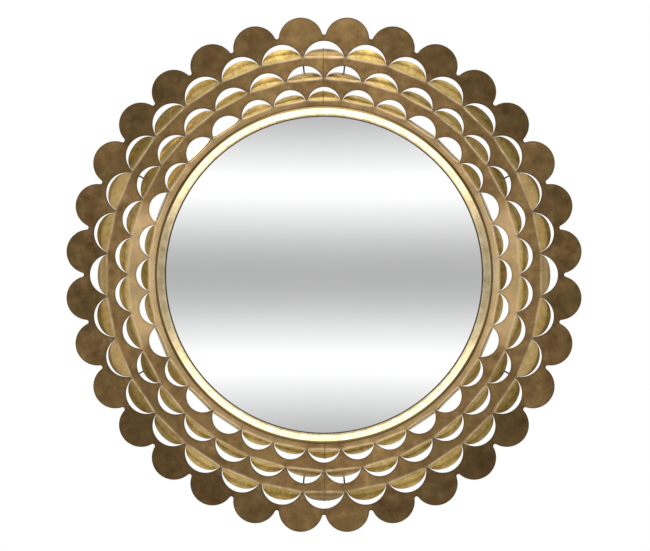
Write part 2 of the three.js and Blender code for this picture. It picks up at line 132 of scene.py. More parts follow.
def noise_tex(nt, vec, scale, detail=4.0, rough=0.55, distortion=0.0):
    n = nt.nodes.new("ShaderNodeTexNoise")
    n.inputs["Scale"].default_value = scale
    n.inputs["Detail"].default_value = detail
    n.inputs["Roughness"].default_value = rough
    n.inputs["Distortion"].default_value = distortion
    nt.links.new(vec, n.inputs["Vector"])
    return n.outputs["Fac"]


def ramp(nt, fac, stops, interpolation="LINEAR"):
    r = nt.nodes.new("ShaderNodeValToRGB")
    r.color_ramp.interpolation = interpolation
    els = r.color_ramp.elements
    while len(els) < len(stops):
        els.new(0.5)
    for e, (p, c) in zip(els, stops):
        e.position = p
        e.color = (*c, 1.0) if isinstance(c, (tuple, list)) else (c, c, c, 1.0)
    nt.links.new(fac, r.inputs["Fac"])
    return r.outputs["Color"]


def mix(nt, fac, a, b, mode="MIX"):
    m = nt.nodes.new("ShaderNodeMix")
    m.data_type = "RGBA"
    m.blend_type = mode
    for sock, value in ((m.inputs["Factor"], fac), (m.inputs["A"], a), (m.inputs["B"], b)):
        if sock.name != "Factor":
            sock = [s for s in m.inputs if s.name == sock.name and s.type == "RGBA"][0]
        else:
            sock = [s for s in m.inputs if s.name == "Factor" and s.type == "VALUE"][0]
        if hasattr(value, "node"):
            nt.links.new(value, sock)
        elif isinstance(value, (tuple, list)):
            sock.default_value = (*value, 1.0)
        else:
            sock.default_value = value
    return [s for s in m.outputs if s.type == "RGBA"][0]


def maths(nt, op, a, b=None, clamp=False):
    m = nt.nodes.new("ShaderNodeMath")
    m.operation = op
    m.use_clamp = clamp
    for i, v in enumerate((a, b)):
        if v is None:
            continue
        if hasattr(v, "node"):
            nt.links.new(v, m.inputs[i])
        else:
            m.inputs[i].default_value = v
    return m.outputs[0]


def attribute(nt, name):
    a = nt.nodes.new("ShaderNodeAttribute")
    a.attribute_name = name
    return a.outputs["Fac"]


def bump(nt, bsdf, height, strength, distance):
    b = nt.nodes.new("ShaderNodeBump")
    b.inputs["Strength"].default_value = strength
    b.inputs["Distance"].default_value = distance
    nt.links.new(height, b.inputs["Height"])
    nt.links.new(b.outputs[0], bsdf.inputs["Normal"])
    return b


def make_sheet_material():
    """Aged antique brass sheet: brown mottled patina, golden flaps that are partly painted highlight, a painted
    highlight along the folds and toward the sides of the ring, and darker along every cut edge and butt seam."""
    m, nt, bsdf = material("antique_brass_sheet")
    vec = coords(nt)
    broad = noise_tex(nt, vec, 11.0, 4.0, 0.55)
    cloud = noise_tex(nt, vec, 48.0, 6.0, 0.62)
    grain = noise_tex(nt, vec, 520.0, 3.0, 0.6)
    speck = noise_tex(nt, vec, 210.0, 4.0, 0.7)
    warm = noise_tex(nt, vec, 30.0, 4.0, 0.55, 0.4)
    rub = nt.nodes.new("ShaderNodeAttribute")
    rub.attribute_name = "rub"
    streak = noise_tex(nt, rub.outputs["Vector"], 1.0, 5.0, 0.65)
    brown = ramp(nt, cloud, [(0.30, (0.215, 0.128, 0.050)), (0.44, (0.320, 0.192, 0.078)),
                             (0.56, (0.400, 0.245, 0.100)), (0.72, (0.540, 0.350, 0.155))])
    brown = mix(nt, 1.0, brown, (1.30, 1.30, 1.26), "MULTIPLY")
    brown = mix(nt, maths(nt, "MULTIPLY", ramp(nt, warm, [(0.50, 0.0), (0.72, 1.0)]), 0.40),
                brown, (0.365, 0.190, 0.096))
    olive = mix(nt, maths(nt, "MULTIPLY", ramp(nt, broad, [(0.44, 0.0), (0.62, 1.0)]), 0.35),
                brown, (0.300, 0.205, 0.074))
    mottle = noise_tex(nt, vec, 105.0, 5.0, 0.66, 0.3)
    rubbed = maths(nt, "ADD", maths(nt, "MULTIPLY", streak, 0.22), maths(nt, "MULTIPLY", mottle, 0.78))
    gold = ramp(nt, rubbed, [(0.36, (0.380, 0.240, 0.060)), (0.46, (0.510, 0.345, 0.090)),
                             (0.55, (0.620, 0.440, 0.126)), (0.66, (0.770, 0.590, 0.210))])
    gold = mix(nt, maths(nt, "MULTIPLY", ramp(nt, cloud, [(0.48, 0.0), (0.66, 1.0)]), 0.28),
               gold, (0.360, 0.240, 0.076))
    # painted highlight: the flaps take the brighter gold as far as tone says, flap by flap, partly their own brighter
    # patina
    flap = attribute(nt, "flap")
    tone = attribute(nt, "tone")
    body = mix(nt, maths(nt, "MULTIPLY", flap, tone), olive, gold)
    # the wear-and-sheen level darkens the lobes and lightens the bands, partly patina and partly painted light
    wear_and_sheen = attribute(nt, "wear_and_sheen")
    body = mix(nt, 1.0, body, ramp(nt, wear_and_sheen, [(0.0, 0.15), (1.0, 1.0)]), "MULTIPLY")
    # painted highlight: pale tan where the wear-and-sheen level passes 0.55, mostly on the inner band toward the sides
    painted_highlight = maths(nt, "MULTIPLY", maths(nt, "SUBTRACT", wear_and_sheen, 0.55, True), 0.95)
    painted_highlight = maths(nt, "MULTIPLY", painted_highlight, ramp(nt, cloud, [(0.36, 1.0), (0.66, 0.55)]))
    body = mix(nt, painted_highlight, body, (0.700, 0.548, 0.318))
    # painted highlight along the creases, its strength mottled
    fold = attribute(nt, "fold")
    sheen_and_wear = ramp(nt, warm, [(0.36, 0.26), (0.62, 0.66)])
    body = mix(nt, maths(nt, "MULTIPLY", fold, sheen_and_wear), body, (0.700, 0.540, 0.310))
    dark = ramp(nt, speck, [(0.61, 0.0), (0.72, 1.0)])
    body = mix(nt, maths(nt, "MULTIPLY", dark, 0.38), body, (0.110, 0.074, 0.034))
    glint = ramp(nt, speck, [(0.26, 1.0), (0.34, 0.0)])
    body = mix(nt, maths(nt, "MULTIPLY", glint, 0.30), body, (0.560, 0.400, 0.180))
    edge = attribute(nt, "edge")
    body = mix(nt, maths(nt, "MULTIPLY", edge, 0.55), body, (0.085, 0.050, 0.022))
    seam = attribute(nt, "seam")
    body = mix(nt, maths(nt, "MULTIPLY", seam, 0.85), body, (0.090, 0.055, 0.022))
    nt.links.new(body, bsdf.inputs["Base Color"])
    bsdf.inputs["Metallic"].default_value = 1.0
    rough = maths(nt, "ADD", maths(nt, "MULTIPLY", cloud, 0.24), 0.27)
    rough = maths(nt, "SUBTRACT", rough, maths(nt, "MULTIPLY", flap, 0.09))
    rough = maths(nt, "ADD", rough, maths(nt, "MULTIPLY", edge, 0.15), True)
    nt.links.new(rough, bsdf.inputs["Roughness"])
    height = maths(nt, "ADD", maths(nt, "MULTIPLY", grain, 0.30), maths(nt, "MULTIPLY", cloud, 1.0))
    height = maths(nt, "ADD", height, maths(nt, "MULTIPLY", maths(nt, "MULTIPLY", streak, flap), 0.05))
    bump(nt, bsdf, height, 0.35, 0.0006)
    return m


def make_cut_material():
    """The sheet's cut edges, dull and dark with old polish."""
    m, nt, bsdf = material("cut_edge")
    vec = coords(nt)
    a = noise_tex(nt, vec, 160.0, 4.0, 0.6)
    nt.links.new(ramp(nt, a, [(0.3, (0.040, 0.026, 0.013)), (0.7, (0.095, 0.062, 0.030))]), bsdf.inputs["Base Color"])
    bsdf.inputs["Roughness"].default_value = 0.8
    bsdf.inputs["Specular IOR Level"].default_value = 0.15
    bump(nt, bsdf, a, 0.2, 0.0003)
    return m


def make_back_material():
    """The back of the sheet, never burnished: dull brass under brown clouds."""
    m, nt, bsdf = material("brass_sheet_back")
    vec = coords(nt)
    broad = noise_tex(nt, vec, 9.0, 5.0, 0.6, 0.4)
    cloud = noise_tex(nt, vec, 55.0, 6.0, 0.64)
    grain = noise_tex(nt, vec, 480.0, 3.0, 0.6)
    speck = noise_tex(nt, vec, 190.0, 4.0, 0.7)
    c = ramp(nt, cloud, [(0.30, (0.420, 0.325, 0.165)), (0.48, (0.570, 0.460, 0.255)), (0.70, (0.730, 0.620, 0.370))])
    c = mix(nt, maths(nt, "MULTIPLY", ramp(nt, broad, [(0.46, 0.0), (0.64, 1.0)]), 0.42), c, (0.280, 0.200, 0.105))
    c = mix(nt, maths(nt, "MULTIPLY", ramp(nt, speck, [(0.62, 0.0), (0.72, 1.0)]), 0.45), c, (0.120, 0.080, 0.040))
    c = mix(nt, maths(nt, "MULTIPLY", attribute(nt, "edge"), 0.35), c, (0.120, 0.078, 0.038))
    c = mix(nt, maths(nt, "MULTIPLY", attribute(nt, "seam"), 0.75), c, (0.100, 0.066, 0.032))
    nt.links.new(c, bsdf.inputs["Base Color"])
    bsdf.inputs["Metallic"].default_value = 1.0
    nt.links.new(maths(nt, "ADD", maths(nt, "MULTIPLY", cloud, 0.25), 0.32), bsdf.inputs["Roughness"])
    bump(nt, bsdf, maths(nt, "ADD", maths(nt, "MULTIPLY", grain, 0.3), cloud), 0.35, 0.0006)
    return m


def make_bezel_material():
    """Pale brass, polished by hand: fine turning lines, light mottling, a few dark pits, and painted shade on the lip
    beside the glass and on the outer flank."""
    m, nt, bsdf = material("polished_brass")
    vec = coords(nt)
    cloud = noise_tex(nt, vec, 60.0, 5.0, 0.6)
    fine = noise_tex(nt, vec, 520.0, 3.0, 0.6)
    tint = ramp(nt, cloud, [(0.32, (0.680, 0.515, 0.260)), (0.50, (0.840, 0.670, 0.385)),
                            (0.68, (0.960, 0.820, 0.540))])
    spots = ramp(nt, noise_tex(nt, vec, 190.0, 4.0, 0.7), [(0.62, 0.0), (0.74, 1.0)])
    tint = mix(nt, maths(nt, "MULTIPLY", spots, 0.35), tint, (0.420, 0.290, 0.130))
    edge = attribute(nt, "edge")
    # painted shade from the edge values: brown on the outer flank, near black on the lip beside the glass and on the
    # underside
    tint = mix(nt, ramp(nt, edge, [(0.0, 0.0), (0.5, 0.96)]), tint, (0.190, 0.122, 0.048))
    tint = mix(nt, ramp(nt, edge, [(0.55, 0.0), (1.0, 1.0)]), tint, (0.050, 0.034, 0.018))
    nt.links.new(tint, bsdf.inputs["Base Color"])
    bsdf.inputs["Metallic"].default_value = 1.0
    rough = maths(nt, "ADD", maths(nt, "MULTIPLY", cloud, 0.12), 0.05)
    rough = maths(nt, "ADD", rough, maths(nt, "MULTIPLY", edge, 0.35), True)
    nt.links.new(rough, bsdf.inputs["Roughness"])
    bump(nt, bsdf, maths(nt, "ADD", cloud, maths(nt, "MULTIPLY", fine, 0.2)), 0.14, 0.0004)
    return m


def make_mirror_material():
    m, nt, bsdf = material("silvered_glass")
    vec = coords(nt)
    drift = noise_tex(nt, vec, 5.0, 2.0, 0.4)
    tint = ramp(nt, drift, [(0.3, (0.930, 0.935, 0.935)), (0.7, (0.950, 0.952, 0.955))])
    nt.links.new(tint, bsdf.inputs["Base Color"])
    bsdf.inputs["Metallic"].default_value = 1.0
    haze = noise_tex(nt, vec, 30.0, 5.0, 0.6)
    nt.links.new(maths(nt, "ADD", maths(nt, "MULTIPLY", haze, 0.012), 0.004), bsdf.inputs["Roughness"])
    return m


def make_glass_edge_material():
    m, nt, bsdf = material("mirror_back_paint")
    vec = coords(nt)
    n = noise_tex(nt, vec, 90.0, 4.0, 0.6)
    nt.links.new(ramp(nt, n, [(0.3, (0.115, 0.125, 0.120)), (0.7, (0.170, 0.180, 0.172))]),
                 bsdf.inputs["Base Color"])
    bsdf.inputs["Roughness"].default_value = 0.45
    bump(nt, bsdf, n, 0.15, 0.0003)
    return m


def make_dark_material():
    m, nt, bsdf = material("dark_bronze_steel")
    vec = coords(nt)
    a = noise_tex(nt, vec, 120.0, 5.0, 0.6)
    b = noise_tex(nt, vec, 22.0, 3.0, 0.5)
    c = ramp(nt, a, [(0.30, (0.030, 0.023, 0.016)), (0.55, (0.062, 0.046, 0.030)), (0.80, (0.130, 0.095, 0.058))])
    c = mix(nt, maths(nt, "MULTIPLY", ramp(nt, b, [(0.5, 0.0), (0.7, 1.0)]), 0.4), c, (0.140, 0.088, 0.045))
    nt.links.new(c, bsdf.inputs["Base Color"])
    bsdf.inputs["Metallic"].default_value = 0.85
    nt.links.new(maths(nt, "ADD", maths(nt, "MULTIPLY", a, 0.3), 0.32), bsdf.inputs["Roughness"])
    bump(nt, bsdf, a, 0.25, 0.0004)
    return m


def make_solder_material():
    m, nt, bsdf = material("soft_solder")
    vec = coords(nt)
    a = noise_tex(nt, vec, 260.0, 4.0, 0.6)
    nt.links.new(ramp(nt, a, [(0.3, (0.130, 0.110, 0.085)), (0.7, (0.330, 0.300, 0.250))]),
                 bsdf.inputs["Base Color"])
    bsdf.inputs["Metallic"].default_value = 1.0
    nt.links.new(maths(nt, "ADD", maths(nt, "MULTIPLY", a, 0.25), 0.25), bsdf.inputs["Roughness"])
    bump(nt, bsdf, a, 0.4, 0.0005)
    return m


def make_zinc_material():
    m, nt, bsdf = material("zinc_plated_steel")
    vec = coords(nt)
    a = noise_tex(nt, vec, 900.0, 3.0, 0.6)
    b = noise_tex(nt, vec, 70.0, 4.0, 0.6)
    c = ramp(nt, b, [(0.3, (0.420, 0.425, 0.420)), (0.6, (0.620, 0.620, 0.600)), (0.8, (0.700, 0.680, 0.620))])
    nt.links.new(c, bsdf.inputs["Base Color"])
    bsdf.inputs["Metallic"].default_value = 1.0
    nt.links.new(maths(nt, "ADD", maths(nt, "MULTIPLY", b, 0.25), 0.18), bsdf.inputs["Roughness"])
    bump(nt, bsdf, maths(nt, "ADD", a, b), 0.15, 0.0002)
    return m


def make_board_material():
    m, nt, bsdf = material("pressed_hardboard")
    vec = coords(nt)
    fibre = noise_tex(nt, vec, 700.0, 5.0, 0.75, 0.6)
    cloud = noise_tex(nt, vec, 9.0, 5.0, 0.6)
    speck = noise_tex(nt, vec, 260.0, 4.0, 0.8)
    c = ramp(nt, fibre, [(0.30, (0.085, 0.048, 0.024)), (0.52, (0.155, 0.094, 0.048)), (0.74, (0.250, 0.162, 0.088))])
    c = mix(nt, maths(nt, "MULTIPLY", ramp(nt, cloud, [(0.4, 0.0), (0.62, 1.0)]), 0.60), c, (0.128, 0.072, 0.036))
    scuff = noise_tex(nt, vec, 34.0, 5.0, 0.72, 1.6)
    c = mix(nt, maths(nt, "MULTIPLY", ramp(nt, scuff, [(0.56, 0.0), (0.70, 1.0)]), 0.40), c, (0.330, 0.225, 0.135))
    c = mix(nt, maths(nt, "MULTIPLY", ramp(nt, speck, [(0.66, 0.0), (0.74, 1.0)]), 0.6), c, (0.070, 0.038, 0.020))
    nt.links.new(c, bsdf.inputs["Base Color"])
    nt.links.new(maths(nt, "ADD", maths(nt, "MULTIPLY", fibre, 0.3), 0.55), bsdf.inputs["Roughness"])
    bump(nt, bsdf, fibre, 0.35, 0.0004)
    return m


def make_felt_material():
    m, nt, bsdf = material("pressed_felt")
    vec = coords(nt)
    f = noise_tex(nt, vec, 800.0, 6.0, 0.8, 1.2)
    nt.links.new(ramp(nt, f, [(0.3, (0.022, 0.019, 0.017)), (0.7, (0.085, 0.075, 0.065))]),
                 bsdf.inputs["Base Color"])
    bsdf.inputs["Roughness"].default_value = 0.95
    bsdf.inputs["Sheen Weight"].default_value = 0.4
    bump(nt, bsdf, f, 0.7, 0.0008)
    return m


def make_rubber_material():
    m, nt, bsdf = material("moulded_rubber")
    vec = coords(nt)
    f = noise_tex(nt, vec, 600.0, 4.0, 0.6)
    d = noise_tex(nt, vec, 80.0, 4.0, 0.6)
    nt.links.new(ramp(nt, d, [(0.3, (0.016, 0.015, 0.014)), (0.7, (0.042, 0.039, 0.036))]),
                 bsdf.inputs["Base Color"])
    nt.links.new(maths(nt, "ADD", maths(nt, "MULTIPLY", d, 0.3), 0.5), bsdf.inputs["Roughness"])
    bump(nt, bsdf, f, 0.3, 0.0003)
    return m


SHEET_MAT = make_sheet_material()
CUT_MAT = make_cut_material()
BACK_MAT = make_back_material()
BEZEL_MAT = make_bezel_material()
MIRROR_MAT = make_mirror_material()
EDGE_MAT = make_glass_edge_material()
DARK_MAT = make_dark_material()
SOLDER_MAT = make_solder_material()
ZINC_MAT = make_zinc_material()
BOARD_MAT = make_board_material()
FELT_MAT = make_felt_material()
RUBBER_MAT = make_rubber_material()


# ------------------------------------------------------------- mesh utilities
def link(name, mesh, mats):
    o = bpy.data.objects.new(name, mesh)
    bpy.context.scene.collection.objects.link(o)
    for m in mats if isinstance(mats, (list, tuple)) else [mats]:
        mesh.materials.append(m)
    return o


def soften(mesh, degrees=35.0):
    """Smooth faces, with sharp edges where the surface turns hard."""
    bm = bmesh.new()
    bm.from_mesh(mesh)
    limit = math.radians(degrees)
    for f in bm.faces:
        f.smooth = True
    for e in bm.edges:
        if len(e.link_faces) == 2:
            e.smooth = e.calc_face_angle(0.0) < limit
        else:
            e.smooth = False
    bm.to_mesh(mesh)
    bm.free()


def finish_bm(name, bm, mats, angle=35.0):
    bmesh.ops.recalc_face_normals(bm, faces=bm.faces)
    mesh = bpy.data.meshes.new(name)
    bm.to_mesh(mesh)
    bm.free()
    soften(mesh, angle)
    return link(name, mesh, mats)


def place(piece, nodes, body=BODY):
    if nodes:
        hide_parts(*nodes)
    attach(piece, body)
    return piece


def lathe(name, profile, mats, turns=192, angle=35.0, closed=True, edge=None, slots=None):
    """A ring or disc turned round the Y axis; profile in mm (r, y)."""
    bm = bmesh.new()
    layer = bm.verts.layers.float.new("edge") if edge else None
    rings = []
    for i, (r, y) in enumerate(profile):
        if r < 1e-6:
            v = bm.verts.new((0, y * MM, 0))
            if layer:
                v[layer] = edge[i]
            rings.append([v])
            continue
        ring = []
        for k in range(turns):
            a = 2 * math.pi * k / turns
            v = bm.verts.new((r * math.sin(a) * MM, y * MM, r * math.cos(a) * MM))
            if layer:
                v[layer] = edge[i]
            ring.append(v)
        rings.append(ring)
    n = len(rings)
    for i in range(n if closed else n - 1):
        a, b = rings[i], rings[(i + 1) % n]
        for k in range(turns):
            k2 = (k + 1) % turns
            if len(a) == 1 and len(b) == 1:
                continue
            if len(a) == 1:
                f = bm.faces.new((a[0], b[k], b[k2]))
            elif len(b) == 1:
                f = bm.faces.new((a[k], b[0], a[k2]))
            else:
                f = bm.faces.new((a[k], b[k], b[k2], a[k2]))
            if slots:
                f.material_index = slots[i]
    return finish_bm(name, bm, mats, angle)


def tube(name, points, radius, mats, sides=16, closed=False, radii=None):
    """Round wire along points in metres."""
    bm = bmesh.new()
    n = len(points)
    pts = [Vector(p) for p in points]
    rings = []
    up = None
    for i, p in enumerate(pts):
        a = pts[i - 1] if (i > 0 or closed) else p
        b = pts[(i + 1) % n] if (i < n - 1 or closed) else p
        t = ((b - p).normalized() if b != p else Vector()) + ((p - a).normalized() if p != a else Vector())
        t.normalize()
        if up is None:
            up = Vector((0, 1, 0)) if abs(t.y) < 0.9 else Vector((1, 0, 0))
        side = t.cross(up).normalized()
        up = side.cross(t).normalized()
        r = radii[i] if radii else radius
        rings.append([bm.verts.new(p + r * (math.cos(2 * math.pi * k / sides) * side
                                            + math.sin(2 * math.pi * k / sides) * up)) for k in range(sides)])
    for i in range(n if closed else n - 1):
        a, b = rings[i], rings[(i + 1) % n]
        for k in range(sides):
            bm.faces.new((a[k], a[(k + 1) % sides], b[(k + 1) % sides], b[k]))
    if not closed:
        bm.faces.new(rings[0])
        bm.faces.new(rings[-1])
    return finish_bm(name, bm, mats)


def at(r, deg, y=0.0):
    a = math.radians(deg)
    return Vector((r * math.sin(a), y, r * math.cos(a))) * MM


# ------------------------------------------------------------ the sheet's form
def soft(x, w=2.4):
    return 0.5 * (x + math.sqrt(x * x + w * w)) - 0.5 * w * math.exp(-(x / w) ** 2) * 0.5


def flat_radius(row, x, z):
    """Distance out along the nearest window's centre line of that row."""
    r = math.hypot(x, z)
    a = math.degrees(math.atan2(x, z))
    k = round(a / PITCH - (0.5 if row.half else 0.0))
    return r * math.cos(math.radians(a - row.angle(k)))


rng = random.Random(7)
# each lobe was bent by hand, so no two lie quite alike: the pairs at the two
# seams lean back most
LOBE_TILT = []
for _k in range(COUNT):
    _seam = _k in (0, COUNT // 2 - 1, COUNT // 2, COUNT - 1)
    LOBE_TILT.append(((3.2 if _seam else -2.2) + rng.uniform(-1.2, 1.2), rng.uniform(-1.8, 1.8)))
FOLD_R = 6.0      # how softly the flaps were bent
FOLD_BACK = 0.45  # share of the bend that lies on the band side of the chord


def sheet_y(x, z):
    """Depth of the sheet's front face at a plan point, in mm."""
    y = FRONT_Y
    for i, row in enumerate((ROWS[2], ROWS[1], ROWS[0])):
        d = flat_radius(row, x, z) - row.chord
        y += (SLOPE[i + 1] - SLOPE[i]) * soft(d, 4.0)
        y -= 0.24 * math.exp(-(d / 2.4) ** 2)
    r = math.hypot(x, z)
    a = math.degrees(math.atan2(x, z)) % 360.0
    k = int(a // PITCH) % COUNT
    if r > 414.0:
        tilt, twist = LOBE_TILT[k]
        t = min((r - 414.0) / 24.0, 1.0)
        ease = t * t * (3 - 2 * t)
        off = math.radians(a - (k + 0.5) * PITCH) * r
        y += ease * (math.tan(math.radians(tilt)) * (r - 412.0) + math.tan(math.radians(twist)) * off)
        # and each is a little cupped
        y += 0.0007 * ease * (off * off - 300.0)
    y += 0.35 * noise.noise(Vector((x * 0.016, z * 0.016, 3.1)))
    y += 0.12 * noise.noise(Vector((x * 0.05, z * 0.05, 8.7)))
    # drawn in a little along each butt seam
    if abs(x) < 12 and r > INNER_R:
        y += 0.30 * math.exp(-((x + math.copysign(SEAM_X, z)) / 1.5) ** 2)
    return y


def slope_at(x, z, deg):
    """Inclination of the sheet along the radial line at deg, in radians."""
    s, c = math.sin(math.radians(deg)), math.cos(math.radians(deg))
    return math.atan((sheet_y(x - s * 7, z - c * 7) - sheet_y(x - s * 12, z - c * 12)) / 5.0)


# each lobe's lightness by its place round the ring, partly patina and partly painted light
LOBE_TONE = [0.22, 0.10, 0.03, 0.02, 0.05, 0.20, 0.19, 0.16]
LOBE_LIGHTNESS = [LOBE_TONE[ROWS[1].place(_k)[0]] + rng.uniform(-0.02, 0.02) for _k in range(COUNT)]


def smooth(x, a, b):
    t = min(max((x - a) / (b - a), 0.0), 1.0)
    return t * t * (3 - 2 * t)


def wear_and_sheen_at(x, z):
    """Lightness over the sheet, part patina and part painted highlight: darkest on the lobes, brightest on the inner
    band, and rising toward the sides of the ring.
    """
    r = math.hypot(x, z)
    k = int((math.degrees(math.atan2(x, z)) % 360.0) // PITCH) % COUNT
    a = math.degrees(math.atan2(abs(x), abs(z)))
    # painted highlight: the bands grow lighter toward the sides of the ring (a is the angle from the vertical)
    inner = 0.54 + 0.20 * smooth(a, 3, 12) + 0.08 * smooth(a, 20, 40) + 0.26 * smooth(a, 62, 70) + 0.36 * smooth(a, 80, 89)
    second = 0.38 + 0.14 * smooth(a, 8, 16) * (1 - smooth(a, 18, 28)) + 0.62 * smooth(a, 64, 74) - 0.18 * smooth(a, 78, 88)
    first = 0.36 - 0.10 * smooth(a, 14, 26) * (1 - smooth(a, 60, 68)) + 0.06 * smooth(a, 62, 72)
    stops = [(290.0, inner), (304.0, inner * 0.95), (313.0, second * 1.05), (343.0, second), (350.0, first),
             (382.0, first * 0.92), (402.0, LOBE_LIGHTNESS[k]), (470.0, LOBE_LIGHTNESS[k])]
    for (r0, w0), (r1, w1) in zip(stops[:-1], stops[1:]):
        if r <= r1:
            t = min(max((r - r0) / (r1 - r0), 0.0), 1.0)
            return w0 + (w1 - w0) * t * t * (3 - 2 * t)
    return stops[-1][1]


def turn(p, deg):
    s, c = math.sin(math.radians(deg)), math.cos(math.radians(deg))
    return (p[0] * c + p[1] * s, -p[0] * s + p[1] * c)


def window_arc(row, steps):
    a0 = math.atan2(row.rise, -row.end)
    a1 = math.atan2(row.rise, row.end)
    return [(row.arc * math.cos(a0 + (a1 - a0) * i / steps),
             row.centre + row.arc * math.sin(a0 + (a1 - a0) * i / steps)) for i in range(steps + 1)]


ARC = 28          # steps along a window's arc
COLS = 14         # columns across a flap
CHORD_F = [math.sin(math.pi / 2 * (2 * j / COLS - 1)) for j in range(COLS + 1)]


def spaced(a, b, step):
    n = max(1, int(round(math.hypot(b[0] - a[0], b[1] - a[1]) / step)))
    return [(a[0] + (b[0] - a[0]) * i / n, a[1] + (b[1] - a[1]) * i / n) for i in range(n)]


def inside(poly, p):
    hit = False
    j = len(poly) - 1
    for i in range(len(poly)):
        (x1, y1), (x2, y2) = poly[i], poly[j]
        if (y1 > p[1]) != (y2 > p[1]) and p[0] < (x2 - x1) * (p[1] - y1) / (y2 - y1) + x1:
            hit = not hit
        j = i
    return hit


def gap_to(poly, p):
    best = 1e9
    for i in range(len(poly)):
        a, b = poly[i - 1], poly[i]
        dx, dy = b[0] - a[0], b[1] - a[1]
        t = ((p[0] - a[0]) * dx + (p[1] - a[1]) * dy) / (dx * dx + dy * dy + 1e-12)
        t = min(max(t, 0.0), 1.0)
        best = min(best, math.hypot(p[0] - a[0] - t * dx, p[1] - a[1] - t * dy))
    return best


def triangulated(poly, rims):
    """Triangles of a plan polygon, refined along its cut edges (rims) and
    filled with an even net. Returns (points, triangles)."""
    pts = list(poly)
    for dist, ring in rims:
        for p in ring:
            if inside(poly, p) and gap_to(poly, p) > dist * 0.8:
                pts.append(p)
    xs, ys = [p[0] for p in poly], [p[1] for p in poly]
    step = 7.5
    rows_n = int((max(ys) - min(ys)) / (step * 0.87)) + 1
    placed = pts[len(poly):]
    for r in range(rows_n):
        y = min(ys) + (r + 0.5) * step * 0.87
        for c in range(-12, 13):
            x = (c + 0.5 * (r % 2)) * step
            if inside(poly, (x, y)) and gap_to(poly, (x, y)) > 5.0:
                if all((x - q[0]) ** 2 + (y - q[1]) ** 2 > 9.0 for q in placed):
                    pts.append((x, y))
    n = len(poly)
    out = delaunay_2d_cdt([Vector(p) for p in pts], [], [list(range(n))], 1, 1e-5)
    verts, faces = out[0], out[2]
    return [(v.x, v.y) for v in verts], [tuple(f) for f in faces]


def edge_value(d):
    """1 on a cut edge, falling to 0 about 3 mm in."""
    return max(0.0, 1.0 - d / 3.0) ** 1.1


def lobe_pattern():
    h = PITCH / 2
    half = LOBE_C * math.sin(HALF_STEP)
    low = LOBE_C * math.cos(HALF_STEP)
    lift = math.sqrt((LOBE_R + NOTCH_R) ** 2 - half ** 2)
    fr = low + lift
    d = math.atan2(lift, half)
    # right-hand fillet in the notch's frame, from the tangent point to the bottom
    fillet = []
    a0, a1 = math.pi + d, 1.5 * math.pi
    for i in range(7):
        a = a0 + (a1 - a0) * i / 6
        fillet.append((NOTCH_R * math.cos(a), fr + NOTCH_R * math.sin(a)))
    right = [turn(p, h) for p in fillet]
    left = [(-p[0], p[1]) for p in right]
    start, stop = left[0], right[0]
    b0 = math.atan2(start[0], start[1] - LOBE_C)
    b1 = math.atan2(stop[0], stop[1] - LOBE_C)
    steps = 56

    def arc(radius, lo, hi, n):
        return [(radius * math.sin(lo + (hi - lo) * i / n), LOBE_C + radius * math.cos(lo + (hi - lo) * i / n))
                for i in range(n + 1)]
    lobe = arc(LOBE_R, b0, b1, steps)
    row = ROWS[0]
    win = window_arc(row, ARC)
    w_right = [turn(p, h) for p in win[:ARC // 2 + 1]]     # chord end up to the apex
    w_left = [turn(p, -h) for p in win[ARC // 2:]]         # apex down to the chord end
    neck = (0.0, row.chord / math.cos(HALF_STEP))
    poly = left[::-1][:-1] + lobe + right[1:]
    poly += spaced(right[-1], w_right[-1], 4.0)[1:]
    poly += w_right[::-1]
    poly += [neck]
    poly += w_left[::-1]
    poly += spaced(w_left[0], left[-1], 4.0)[1:]
    rims = []
    for d_in in (1.2, 3.2):
        ring = arc(LOBE_R - d_in, b0 - 0.05, b1 + 0.05, 44)
        for side in (-1, 1):
            for i in range(13):
                a = math.pi * 0.05 + (math.pi * 0.9) * i / 12
                q = ((row.arc + d_in) * math.cos(a), row.centre + (row.arc + d_in) * math.sin(a))
                ring.append(turn(q, side * h))
        rims.append((d_in, ring))
    pts, tris = triangulated(poly, rims)
    c0, c1 = turn((0, row.centre), -h), turn((0, row.centre), h)
    f0, f1 = turn((0, fr), -h), turn((0, fr), h)

    def rim(p):
        x, y = p
        d = min(abs(math.hypot(x - c0[0], y - c0[1]) - row.arc), abs(math.hypot(x - c1[0], y - c1[1]) - row.arc))
        if y > LOBE_C - 2:
            d = min(d, LOBE_R - math.hypot(x, y - LOBE_C))
        d = min(d, math.hypot(x - f0[0], y - f0[1]) - NOTCH_R, math.hypot(x - f1[0], y - f1[1]) - NOTCH_R)
        return max(d, 0.0)
    return pts, tris, rim


